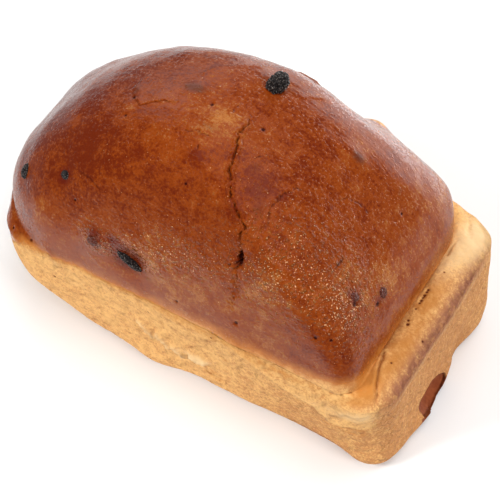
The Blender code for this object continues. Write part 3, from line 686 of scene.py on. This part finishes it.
def relief_of(shape, points, normals, trails):
    """Each point's move along its normal, its painted shade from grooves, folds and pits, and its painted
    crest highlight.
    """
    height = spread(points, SWELLS + FINE_SWELLS) * MM
    height += shape.swell_height * noise_at(points, shape.swell_wave)
    height += shape.lump_height * noise_at(points, shape.lump_wave, (5, 3, 9))
    painted_shade, crest_highlight = np.zeros(len(points)), np.zeros(len(points))
    for walked, sizes in trails["grooves"]:
        cut_groove(walked, sizes, points, height, painted_shade)
    for walked, sizes in trails["folds"]:
        raise_fold(walked, sizes, points, normals, height, painted_shade, crest_highlight)
    for place, radius in trails["pits"]:
        away = np.linalg.norm(points - place, axis=1) / (radius * MM)
        height -= 0.7 * radius * MM * np.exp(-away**2)
        # Painted shade in the pit
        painted_shade = np.maximum(painted_shade, np.clip(1.6 - 1.5 * away, 0, 1))
    grip = np.clip(points[:, 2] / (4 * MM), 0, 1)
    return height * grip, painted_shade, crest_highlight


def refined(mesh, trails):
    """The mesh with its edges halved near grooves, folds and pits, and halved again close to them."""
    built = bmesh.new()
    built.from_mesh(mesh)
    for reach, longest, with_folds in REFINEMENTS:
        points = np.array([vert.co[:] for vert in built.verts])
        near = np.zeros(len(points), bool)
        for walked, _ in trails["grooves"] + (trails["folds"] if with_folds else []):
            near[nearest_on(walked, points, reach)[0]] = True
        for place, _ in trails["pits"]:
            near |= np.linalg.norm(points - place, axis=1) < reach
        hollow = np.abs((points - HOLLOW_MIDDLE) / (HOLLOW_RADII + 2 * MM))
        near |= hollow.max(axis=1) < 1
        edges = [edge for edge in built.edges
                 if any(near[vert.index] for vert in edge.verts) and edge.calc_length() > longest]
        bmesh.ops.subdivide_edges(built, edges=edges, cuts=1, use_grid_fill=True)
        bmesh.ops.triangulate(built, faces=[face for face in built.faces if len(face.verts) > 4])
        built.verts.index_update()
    built.to_mesh(mesh)
    built.free()
    return mesh


def hollowed(points):
    """The points of the end wall pushed back onto the burst hollow's wall, and how deep each lies in it."""
    turn = np.array(Matrix.Rotation(HOLLOW_TILT, 3, "X"))
    local = (points - HOLLOW_MIDDLE) @ turn
    ragged_edge = 1 + HOLLOW_RAGGEDNESS * noise_at(points, HOLLOW_EDGE_GRAIN, (2, 7, 1))
    flat = (local[:, 1] / HOLLOW_RADII[1]) ** 2 + (local[:, 2] / HOLLOW_RADII[2]) ** 2
    flat = flat / ragged_edge**2
    wall = -HOLLOW_RADII[0] * np.sqrt(np.clip(1 - flat, 0, 1))
    deeper = (flat < 1) & (points[:, 0] > 80 * MM) & (wall < local[:, 0])
    depth = np.zeros(len(points))
    depth[deeper] = np.clip((local[deeper, 0] - wall[deeper]) / TORN_DEPTH, 0, 1)
    local[deeper, 0] = wall[deeper]
    moved = points.copy()
    moved[deeper] = (local @ turn.T + HOLLOW_MIDDLE)[deeper]
    return moved, depth


def toasting(points, normals):
    """How browned and painted with shade the walls are: most on the end wall and the near corner, least at
    the left.
    """
    x, y, z = points.T / MM
    # Faces turned towards the end are darker: browning and painted shade
    end_wall = np.clip((normals[:, 0] - 0.55) / 0.25, 0, 1)
    end = end_wall * (0.95 - 0.25 * np.clip((y - 10) / 30, 0, 1))
    ledge_x, ledge_z = np.array([(place[0], place[2]) for place in FRONT_LEDGE]).T
    # Browning and painted shade below the front ledge, growing towards the near corner, and darker towards
    # the bottom
    below = np.clip((np.interp(x, ledge_x, ledge_z, left=44) - z) / 4, 0, 1)
    front = 0.62 * np.clip((x - 15) / 70, 0, 1) * below + 0.18 * np.clip((14 - z) / 14, 0, 1)
    foot = 0.25 * np.clip((5 - z) / 5, 0, 1)
    shelf = 0.45 * np.clip((x - 78) / 4, 0, 1) * np.clip((z - 46) / 2, 0, 1) * np.clip((28 - y) / 14, 0, 1)
    return np.clip(np.maximum(end, front) + foot + shelf + spread(points, TOASTED_FLAKE), 0, 1)


def mark_fields(mesh, points, normals, painted_shade, crest_highlight, hollow):
    """Stores what the finish reads at each point, such as browning, bruises, stains, blisters, painted shade
    and painted highlights.
    """
    above = get_field(mesh, "above_crust") / MM
    inward = get_field(mesh, "in_from_rim") / MM
    x, y, z = points.T / MM
    hollow_lip = (x > 88) & (y > -21) & (y < 3)
    along_end = np.clip((x - 84) / 4, 0, 1) * np.clip((y + 47) / 8, 0, 1) * np.clip((46 - y) / 24, 0, 1)
    # Painted highlight: a thin pale line along the end wall a little below the rim
    rim_highlight = 0.35 * along_end * np.exp(-(((inward + 4.6) / 1.9) ** 2))
    walls = np.clip(1 - (above + 4) / 4, 0, 1) * np.clip(z / 4, 0, 1)
    on_shelf = np.clip(inward / 3, 0, 1) * np.clip((x - 70) / 10, 0, 1)
    fields = {
        "crust_mm": above + spread(points, LOWER_CRUST),
        "tone": spread(points, BROWNING) + 0.10 * np.clip(x / 90, -1, 1),
        "bruise": spread(points, BRUISES),
        "stain": spread(points, STAINS),
        "blister": np.clip(spread(points, BLISTERS), 0, 1) * np.clip(above / 8, 0, 1),
        "painted_shade": painted_shade,
        "hollow": np.maximum(hollow, hollow_lip * np.clip((7.5 - z) / 2, 0, 1)),
        "toast_and_shade": toasting(points, normals),
        "amber": np.clip(spread(points, AMBER), 0, 1),
        "rim_band": along_end * np.exp(-(((inward - 0.6) / 4.6) ** 2)),
        # Cream skin plus the painted highlights on fold crests and below the rim
        "cream_and_highlight": np.clip(spread(points, CREAM) + crest_highlight + rim_highlight, 0, 1),
        "grain": walls * (1 - 0.8 * on_shelf) * (1 - hollow),
    }
    for name, values in fields.items():
        put_field(mesh, name, values)
    mesh.attributes.remove(mesh.attributes["skin_normal"])


class Finish:
    """A material's nodes, named by what they make."""

    def __init__(self, name, specular):
        self.material = bpy.data.materials.new(name)
        self.material.use_nodes = True
        self.nodes = self.material.node_tree.nodes
        self.links = self.material.node_tree.links
        self.sockets = self.nodes["Principled BSDF"].inputs
        self.sockets["Specular IOR Level"].default_value = specular
        self.place = self.nodes.new("ShaderNodeTexCoord").outputs["Object"]

    def set(self, socket, value):
        if isinstance(value, bpy.types.NodeSocket):
            self.links.new(value, socket)
        else:
            socket.default_value = value

    def field(self, name):
        node = self.nodes.new("ShaderNodeAttribute")
        node.attribute_name = name
        return node.outputs["Fac"]

    def noise(self, size, detail=2.0, roughness=0.5, place=None):
        """Soft noise from 0 to 1 whose grain has this size in millimetres."""
        node = self.nodes.new("ShaderNodeTexNoise")
        self.set(node.inputs["Vector"], place or self.place)
        node.inputs["Scale"].default_value = 1.0 / (size * MM)
        node.inputs["Detail"].default_value = detail
        node.inputs["Roughness"].default_value = roughness
        return node.outputs[0]

    def mapped(self, **settings):
        """The place after it is scaled or turned."""
        node = self.nodes.new("ShaderNodeMapping")
        self.set(node.inputs["Vector"], self.place)
        for name, value in settings.items():
            node.inputs[name].default_value = value
        return node.outputs[0]

    def parts(self, vector):
        node = self.nodes.new("ShaderNodeSeparateXYZ")
        self.set(node.inputs[0], vector)
        return node.outputs

    def math(self, operation, *values):
        node = self.nodes.new("ShaderNodeMath")
        node.operation = operation
        for socket, value in zip(node.inputs, values):
            self.set(socket, value)
        return node.outputs[0]

    def scaled(self, value, factor, more=0.0):
        """The value times a factor, with more added."""
        return self.math("MULTIPLY_ADD", value, factor, more)

    def around(self, value, noise_value, amount):
        """The value moved up and down by a noise."""
        return self.scaled(self.math("SUBTRACT", noise_value, 0.5), amount, value)

    def between(self, part, first, second):
        """The first value where the part is 0, and the second where it is 1."""
        return self.scaled(self.math("SUBTRACT", second, first), part, first)

    def ramp(self, value, low, high, to_low=0.0, to_high=1.0):
        """A smooth step of a value from low to high."""
        node = self.nodes.new("ShaderNodeMapRange")
        node.interpolation_type = "SMOOTHSTEP"
        for socket, given in zip(node.inputs, (value, low, high, to_low, to_high)):
            self.set(socket, given)
        return node.outputs[0]

    def mix(self, part, first, second, blend="MIX"):
        """The first colour where the part is 0, and the second, or their blend, where it is 1."""
        node = self.nodes.new("ShaderNodeMix")
        node.data_type = "RGBA"
        node.blend_type = blend
        self.set(node.inputs[0], part)
        for socket, given in zip(node.inputs[6:8], (first, second)):
            self.set(socket, given if isinstance(given, bpy.types.NodeSocket) else (*given, 1.0))
        return node.outputs[2]

    def done(self, colour, rough, height=None, depth=0.0):
        """The material with its colour, its roughness and a bump of this depth."""
        self.set(self.sockets["Base Color"], colour)
        self.set(self.sockets["Roughness"], rough)
        if height:
            node = self.nodes.new("ShaderNodeBump")
            node.inputs["Distance"].default_value = depth
            self.set(node.inputs["Height"], height)
            self.set(self.sockets["Normal"], node.outputs[0])
        return self.material


def crust_colour(finish, colours):
    """The glaze: browned unevenly, specked with painted glints, bruised over hidden raisins."""
    cloud = finish.noise(20, 3.0)
    mottle = finish.noise(5, 4.0, 0.6)
    streaks = finish.noise(2.6, 3.0, 0.6, finish.mapped(Scale=(0.3, 1.5, 0.3)))
    grain = finish.noise(1.1, 4.0, 0.7)
    value = finish.scaled(finish.field("tone"), 0.55, 0.46)
    for unevenness, amount in ((cloud, 0.65), (mottle, 0.85), (streaks, 0.55), (grain, 1.7)):
        value = finish.around(value, unevenness, amount)
    shade = finish.mix(finish.ramp(value, 0.0, 0.5), colours.crust_dark, colours.crust_brown)
    shade = finish.mix(finish.ramp(value, 0.5, 1.05), shade, colours.crust_orange)
    # Painted glints: pale specks, thickest where the glaze blistered
    glints = finish.scaled(finish.field("blister"), 0.20, finish.noise(0.55, 0.0))
    painted_glints = finish.ramp(finish.around(glints, cloud, 0.2), 0.84, 0.98, 0.0, 0.85)
    shade = finish.mix(painted_glints, shade, colours.crust_painted_glint)
    bruised = finish.around(finish.around(finish.field("bruise"), grain, 0.9), mottle, 0.6)
    return finish.mix(finish.ramp(bruised, 0.15, 0.9, 0.0, 0.8), shade, colours.bruise)


def wall_colour(finish, colours):
    """The walls and the shelf: pale gold to tan with painted shade, mottled, with cream skin and painted
    highlights, amber skin and the rim's band.
    """
    cloud = finish.noise(11, 3.0, 0.6)
    mottle = finish.noise(2.8, 4.0, 0.7)
    grain = finish.noise(0.9, 3.0, 0.7)
    toast_and_shade = finish.math("ADD", finish.field("toast_and_shade"), 0.12)
    for unevenness, amount in ((cloud, 1.2), (mottle, 2.4), (grain, 4.4)):
        toast_and_shade = finish.around(toast_and_shade, unevenness, amount)
    shade = finish.mix(finish.ramp(toast_and_shade, -0.3, 1.2), colours.wall_pale, colours.wall_tan_and_shade)
    # Amber skin, then cream skin together with the painted highlights on fold crests and below the rim
    for skin, amount in (("amber", 1.0), ("cream_and_highlight", 0.8)):
        part = finish.around(finish.field(skin), mottle, amount)
        shade = finish.mix(finish.ramp(part, 0.05, 0.95), shade, getattr(colours, skin))
    band = finish.math("MULTIPLY", finish.field("rim_band"), finish.ramp(mottle, 0.3, 0.6, 0.45, 1.0))
    shade = finish.mix(band, shade, colours.rim_band)
    torn = finish.mix(finish.ramp(mottle, 0.3, 0.7), colours.stain, colours.torn)
    torn = finish.mix(0.5, torn, colours.torn)
    return finish.mix(finish.ramp(finish.around(finish.field("hollow"), mottle, 0.8), 0.25, 0.6), shade, torn)


def glaze_relief(finish, blister):
    """The fine relief of the glaze: slow waves, and pebbles and pimples that grow where it blistered."""
    waves = finish.noise(4.5, 2.0, 0.5, finish.mapped(Scale=(0.4, 1.2, 0.4)))
    pimples = finish.ramp(finish.noise(1.1, 1.0), 0.55, 0.80)
    glaze = finish.math("MULTIPLY", waves, 0.25)
    glaze = finish.scaled(finish.noise(2.2, 2.0, 0.5), finish.scaled(blister, 1.3, 0.10), glaze)
    return finish.scaled(pimples, finish.scaled(blister, 0.8, 0.10), glaze)


def wall_relief(finish, coarse):
    """The fine relief of the walls: coarse grain, and fibres that grow where the walls are toasted or painted
    with shade.
    """
    grain = finish.math("MULTIPLY", finish.noise(4.5, 1.0, 0.5), 3.4)
    fibres = finish.scaled(finish.noise(1.6, 1.0, 0.5), finish.scaled(finish.field("toast_and_shade"), 2.0, 0.3), grain)
    return finish.math("MULTIPLY", fibres, finish.scaled(coarse, 0.88, 0.12))


def loaf_finish(colours):
    """Glaze above the crust line, baked wall below it, and juice and painted shade in cracks and pits over
    both.
    """
    finish = Finish("baked_loaf", 0.25)
    mottle = finish.noise(5, 4.0, 0.65)
    edge = finish.around(finish.field("crust_mm"), mottle, 9.0)
    glazed = finish.ramp(edge, -2.0, 3.0)
    shade = finish.mix(glazed, wall_colour(finish, colours), colours.crust_gold)
    shade = finish.mix(finish.ramp(edge, 0.0, 8.0), shade, crust_colour(finish, colours))
    stain = finish.ramp(finish.around(finish.field("stain"), mottle, 1.0), 0.15, 0.85, 0.0, 0.86)
    shade = finish.mix(stain, shade, colours.stain)
    # Painted shade multiplied over cracks, creases, fold feet and pits
    shade = finish.mix(finish.ramp(finish.field("painted_shade"), 0.05, 0.95), shade, colours.painted_shade_colour, "MULTIPLY")

    blister, coarse = finish.field("blister"), finish.field("grain")
    height = finish.between(glazed, wall_relief(finish, coarse), glaze_relief(finish, blister))
    shine = finish.scaled(blister, -0.06, finish.around(0.24, mottle, 0.4))
    rough = finish.between(glazed, finish.ramp(coarse, 0.0, 1.0, 0.60, 0.88), shine)
    return finish.done(shade, finish.between(stain, rough, 0.18), height, 1.0 * MM)


def raisin_finish(name, skin, roughness, bloom_and_glint_strength):
    """Dried grape skin, wrinkled, with pale specks that are part dusty bloom and part painted glints."""
    finish = Finish(name, 0.5)
    # Pale specks: part dusty bloom, part painted glints
    bloom_and_painted_glints = finish.ramp(finish.noise(0.5, 0.0), 0.60, 0.78, 0.0, bloom_and_glint_strength)
    pale = tuple(base + 2.0 * part for base, part in zip((0.32, 0.27, 0.23), skin))
    rough = finish.ramp(finish.noise(0.8, 3.0, 0.6), 0.3, 0.7, roughness, roughness + 0.2)
    return finish.done(finish.mix(bloom_and_painted_glints, skin, pale), rough, finish.noise(1.0, 2.0, 0.5), 2.2 * MM)


class Tree:
    """A geometry tree with named inputs, among them a seed and a material, and short ways to add nodes."""

    def __init__(self, name, sockets):
        self.tree = bpy.data.node_groups.new(name, "GeometryNodeTree")
        for label, kind in {"Geometry": "Geometry", **sockets, "Seed": "Int", "Material": "Material"}.items():
            self.tree.interface.new_socket(label, in_out="INPUT", socket_type="NodeSocket" + kind)
        self.tree.interface.new_socket("Geometry", in_out="OUTPUT", socket_type="NodeSocketGeometry")
        self.given = self.tree.nodes.new("NodeGroupInput").outputs

    def node(self, kind, inputs=None, **settings):
        """The first output of a node with these settings and inputs, which are sockets or values."""
        node = self.tree.nodes.new(kind)
        for key, value in settings.items():
            setattr(node, key, value)
        for key, value in (inputs or {}).items():
            if isinstance(value, bpy.types.NodeSocket):
                self.tree.links.new(value, node.inputs[key])
            else:
                node.inputs[key].default_value = value
        return node.outputs[0]

    def math(self, operation, *values):
        return self.node("ShaderNodeMath", dict(enumerate(values)), operation=operation)

    def vector(self, operation, first, second=None):
        """Vector maths, where SCALE takes a number second."""
        inputs = {0: first} if second is None else {0: first, "Scale" if operation == "SCALE" else 1: second}
        return self.node("ShaderNodeVectorMath", inputs, operation=operation)

    def noise(self, place, size, detail=2.0):
        """Noise from -1 to 1 at a place, with a grain of this size."""
        values = {"Vector": place, "W": self.given["Seed"], "Scale": self.math("DIVIDE", 1.0, size)}
        made = self.node("ShaderNodeTexNoise", {**values, "Detail": detail}, noise_dimensions="4D")
        return self.math("MULTIPLY_ADD", made, 2.0, -1.0)

    def done(self, geometry):
        """The finished tree, which gives this geometry with its instances made real and its material set."""
        real = self.node("GeometryNodeRealizeInstances", {"Geometry": geometry})
        dressed = self.node("GeometryNodeSetMaterial", {"Geometry": real, "Material": self.given["Material"]})
        self.tree.links.new(dressed, self.tree.nodes.new("NodeGroupOutput").inputs[0])
        return self.tree


def fine_relief_tree():
    """Raises the glaze's blisters and the walls' grain along the skin's normals."""
    tree = Tree("fine_relief", {"Pebble Height": "Float", "Pebble Size": "Float", "Grain Height": "Float",
                                "Grain Size": "Float"})
    given = tree.given
    place = tree.node("GeometryNodeInputPosition")
    heights = []
    for zone, label in (("blister", "Pebble"), ("grain", "Grain")):
        weight = tree.node("GeometryNodeInputNamedAttribute", {"Name": zone}, data_type="FLOAT")
        raised = tree.math("MULTIPLY", tree.noise(place, given[label + " Size"]), given[label + " Height"])
        heights.append(tree.math("MULTIPLY", raised, weight))
    offset = tree.vector("SCALE", tree.node("GeometryNodeInputNormal"), tree.math("ADD", *heights))
    return tree.done(tree.node("GeometryNodeSetPosition", {"Geometry": given["Geometry"], "Offset": offset}))


def raisin_tree():
    """A dried grape: an ellipsoid drawn in along creases and dimples, then turned and put in its place."""
    tree = Tree("wrinkled_raisin", {"Radii": "Vector", "Wrinkle Depth": "Float", "Wrinkle Size": "Float",
                                    "Place": "Vector", "Turn": "Rotation", "Fineness": "Int"})
    given = tree.given
    ball = tree.node("GeometryNodeMeshIcoSphere", {"Radius": 1.0, "Subdivisions": given["Fineness"]})
    way = tree.node("GeometryNodeInputPosition")
    full = tree.vector("MULTIPLY", way, given["Radii"])
    valleys = tree.math("ABSOLUTE", tree.noise(way, given["Wrinkle Size"], 0.5))
    creases = tree.math("SUBTRACT", 1.0, tree.math("POWER", valleys, 0.45))
    half = tree.math("MULTIPLY", given["Wrinkle Size"], 0.42)
    dimples = tree.math("MULTIPLY_ADD", tree.noise(way, half, 1.0), 0.35, 0.35)
    drawn = tree.math("MULTIPLY", tree.math("ADD", creases, dimples), given["Wrinkle Depth"])
    inward = tree.vector("SCALE", tree.vector("NORMALIZE", full), drawn)
    shown = tree.vector("SUBTRACT", full, inward)
    body = tree.node("GeometryNodeSetPosition", {"Geometry": ball, "Position": shown})
    turned = tree.node("GeometryNodeTransform", {
        "Geometry": body, "Translation": given["Place"], "Rotation": given["Turn"]})
    return tree.done(tree.node("GeometryNodeSetShadeSmooth", {"Geometry": turned}))


def grown(name, mesh, tree, values):
    """The tree's result on this mesh as a plain mesh object."""
    source = bpy.data.objects.new(name + "_source", mesh)
    bpy.context.scene.collection.objects.link(source)
    nodes = source.modifiers.new("grow", "NODES")
    nodes.node_group = tree
    for item in tree.interface.items_tree:
        if item.item_type == "SOCKET" and item.in_out == "INPUT" and item.name in values:
            nodes[item.identifier] = values[item.name]
    bpy.context.view_layer.update()
    seen = source.evaluated_get(bpy.context.evaluated_depsgraph_get())
    made = bpy.data.meshes.new_from_object(seen, depsgraph=bpy.context.evaluated_depsgraph_get())
    source.modifiers.remove(nodes)
    bpy.data.objects.remove(source, do_unlink=True)
    made.name = name
    piece = bpy.data.objects.new(name, made)
    bpy.context.scene.collection.objects.link(piece)
    return piece


def settle(piece, node):
    """Ties the piece to the body and lets it stand for its node."""
    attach(piece, "root")
    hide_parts(node)


class TINLOAF_OT_build_loaf(bpy.types.Operator):
    """Builds the loaf's skin with its burst, creases and blisters"""

    bl_idname = "tinloaf.build_loaf"
    bl_label = "Build the loaf"

    def execute(self, context):
        shape = context.scene.tin_loaf_shape
        mesh = skin_mesh(shape)
        skin = BVHTree.FromPolygons([vert.co.copy() for vert in mesh.vertices],
                                    [face.vertices[:] for face in mesh.polygons])
        trails = {
            "grooves": [(walk(path, skin), sizes) for path, *sizes in GROOVES],
            "folds": [(walk(path, skin), sizes) for path, *sizes in FOLDS],
            "pits": [(np.array(skin.find_nearest(Vector(place) * MM)[0]), radius) for place, radius in PITS],
        }
        mesh = refined(mesh, trails)
        points = points_of(mesh)
        normals = get_field(mesh, "skin_normal", 3)
        normals /= np.maximum(np.linalg.norm(normals, axis=1, keepdims=True), 1e-9)
        height, painted_shade, crest_highlight = relief_of(shape, points, normals, trails)
        moved, hollow = hollowed(points + normals * height[:, None])
        mark_fields(mesh, points, normals, painted_shade, crest_highlight, hollow)
        mesh.vertices.foreach_set("co", (moved - MIDDLE).astype(np.float32).ravel())
        mesh.update()
        piece = grown("baked_loaf", mesh, fine_relief_tree(), {
            "Pebble Height": shape.pebble_height, "Pebble Size": shape.pebble_size,
            "Grain Height": shape.grain_height, "Grain Size": shape.grain_size, "Seed": shape.seed,
            "Material": loaf_finish(context.scene.tin_loaf_colours)})
        piece.data.shade_smooth()
        settle(piece, "loaf")
        return {"FINISHED"}


class TINLOAF_OT_place_raisins(bpy.types.Operator):
    """Puts a wrinkled raisin in the place of each raisin's solid"""

    bl_idname = "tinloaf.place_raisins"
    bl_label = "Place the raisins"

    def execute(self, context):
        colours = context.scene.tin_loaf_colours
        skins = {"dry": raisin_finish("dry_raisin", tuple(colours.raisin), *SKINS["dry"]),
                 "glazed": raisin_finish("glazed_raisin", tuple(colours.glazed_raisin), *SKINS["glazed"])}
        tree = raisin_tree()
        for name, (radii, turns, wrinkle, seed, fineness, skin) in RAISINS.items():
            low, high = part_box(name)
            middle = (Vector(low) + Vector(high)) / 2
            piece = grown(name + "_skin", bpy.data.meshes.new(name), tree, {
                "Radii": [radius * MM for radius in radii], "Wrinkle Depth": wrinkle * MM,
                "Wrinkle Size": WRINKLE_SIZE, "Seed": seed, "Place": middle[:],
                "Turn": Euler([math.radians(turn) for turn in turns]), "Fineness": fineness,
                "Material": skins[skin]})
            settle(piece, name)
        return {"FINISHED"}


def way_to(turn, height):
    """The direction with this turn round the loaf and this height over the table, in degrees."""
    turn, height = math.radians(turn), math.radians(height)
    return Vector((math.sin(turn) * math.cos(height), -math.cos(turn) * math.cos(height), math.sin(height)))


def add_lamp(scene, name, wide, high, power):
    """An area lamp of this size and power, still without a place."""
    data = bpy.data.lights.new(name, "AREA")
    data.shape = "RECTANGLE"
    data.size, data.size_y = wide, high
    data.energy = power
    lamp = bpy.data.objects.new(name, data)
    scene.collection.objects.link(lamp)
    return lamp


class TINLOAF_OT_set_stage(bpy.types.Operator):
    """Sets the floor, the lights and the camera"""

    bl_idname = "tinloaf.set_stage"
    bl_label = "Set the stage"

    def execute(self, context):
        scene = context.scene
        self.add_floor(scene)
        self.add_camera(scene)
        self.add_lamps(scene)
        scene.world = bpy.data.worlds.new("studio")
        scene.world.use_nodes = True
        background = scene.world.node_tree.nodes["Background"].inputs
        background["Color"].default_value = (1.0, 1.0, 1.0, 1.0)
        background["Strength"].default_value = WORLD_STRENGTH
        scene.view_settings.view_transform = "Standard"
        return {"FINISHED"}

    def add_floor(self, scene):
        mesh = bpy.data.meshes.new("floor")
        corners = [(x * FLOOR_REACH, y * FLOOR_REACH, 0) for x, y in ((-1, -1), (1, -1), (1, 1), (-1, 1))]
        mesh.from_pydata(corners, [], [(0, 1, 2, 3)])
        finish = Finish("pale_floor", 0.1)
        across, ahead, _ = finish.parts(finish.mapped(Rotation=(0, 0, -math.radians(CAMERA_TURN))))
        strip = finish.ramp(finish.math("ABSOLUTE", across), *FLOOR_SIDE, 1.0, 0.0)
        strip = finish.math("MULTIPLY", strip, finish.ramp(ahead, FLOOR_FRONT[1], FLOOR_FRONT[0]))
        behind = finish.ramp(finish.parts(finish.place)[1], FLOOR_BACK[1], FLOOR_BACK[0])
        pale = finish.math("MAXIMUM", strip, behind)
        mesh.materials.append(finish.done(finish.mix(pale, FLOOR_DARK, FLOOR_PALE), 0.9))
        floor = bpy.data.objects.new("floor", mesh)
        scene.collection.objects.link(floor)

    def add_camera(self, scene):
        back = way_to(CAMERA_TURN, CAMERA_HEIGHT)
        turn, roll = math.radians(CAMERA_TURN), math.radians(CAMERA_ROLL)
        level = Vector((math.cos(turn), math.sin(turn), 0.0))
        upright = back.cross(level)
        right = level * math.cos(roll) + upright * math.sin(roll)
        up = upright * math.cos(roll) - level * math.sin(roll)
        data = bpy.data.cameras.new("camera")
        data.lens = CAMERA_LENS
        data.sensor_width = CAMERA_SENSOR
        data.clip_start = 0.01
        camera = bpy.data.objects.new("camera", data)
        facing = Matrix((right, up, back)).transposed().to_4x4()
        camera.matrix_world = Matrix.Translation(CAMERA_TARGET + back * CAMERA_DISTANCE) @ facing
        scene.collection.objects.link(camera)
        scene.camera = camera

    def add_lamps(self, scene):
        """The lamps round the loaf, and one over the floor behind it, which shows in the glaze's skyline."""
        for name, turn, height, distance, wide, high, power, use in LAMPS:
            lamp = add_lamp(scene, name, wide, high, power)
            lamp.visible_glossy = use != "light"
            lamp.visible_diffuse = use != "glaze"
            way = way_to(turn, height)
            facing = way.to_track_quat("Z", "Y").to_matrix().to_4x4()
            lamp.matrix_world = Matrix.Translation(CAMERA_TARGET + way * distance) @ facing
        lamp = add_lamp(scene, "floor_behind", *FLOOR_LAMP_SIZE, FLOOR_LAMP_POWER)
        lamp.data.spread = math.radians(FLOOR_LAMP_SPREAD)
        lamp.visible_glossy = False
        lamp.location = FLOOR_LAMP_PLACE


class TINLOAF_PT_panel(bpy.types.Panel):
    """Lists the steps that build the loaf"""

    bl_idname = "TINLOAF_PT_panel"
    bl_label = "Tin loaf"
    bl_space_type = "VIEW_3D"
    bl_region_type = "UI"
    bl_category = "Tin loaf"

    def draw(self, context):
        for operator in (TINLOAF_OT_build_loaf, TINLOAF_OT_place_raisins, TINLOAF_OT_set_stage):
            self.layout.operator(operator.bl_idname)
        for group in (context.scene.tin_loaf_shape, context.scene.tin_loaf_colours):
            column = self.layout.column(align=True)
            for name in group.__annotations__:
                column.prop(group, name)


CLASSES = (TinLoafShape, TinLoafColours, TINLOAF_OT_build_loaf, TINLOAF_OT_place_raisins,
           TINLOAF_OT_set_stage, TINLOAF_PT_panel)


def register():
    for each in CLASSES:
        bpy.utils.register_class(each)
    bpy.types.Scene.tin_loaf_shape = PointerProperty(type=TinLoafShape)
    bpy.types.Scene.tin_loaf_colours = PointerProperty(type=TinLoafColours)


def unregister():
    del bpy.types.Scene.tin_loaf_colours
    del bpy.types.Scene.tin_loaf_shape
    for each in reversed(CLASSES):
        bpy.utils.unregister_class(each)


def main():
    register()
    bpy.ops.tinloaf.set_stage()
    bpy.ops.tinloaf.build_loaf()
    bpy.ops.tinloaf.place_raisins()


if __name__ == "__main__":
    main()
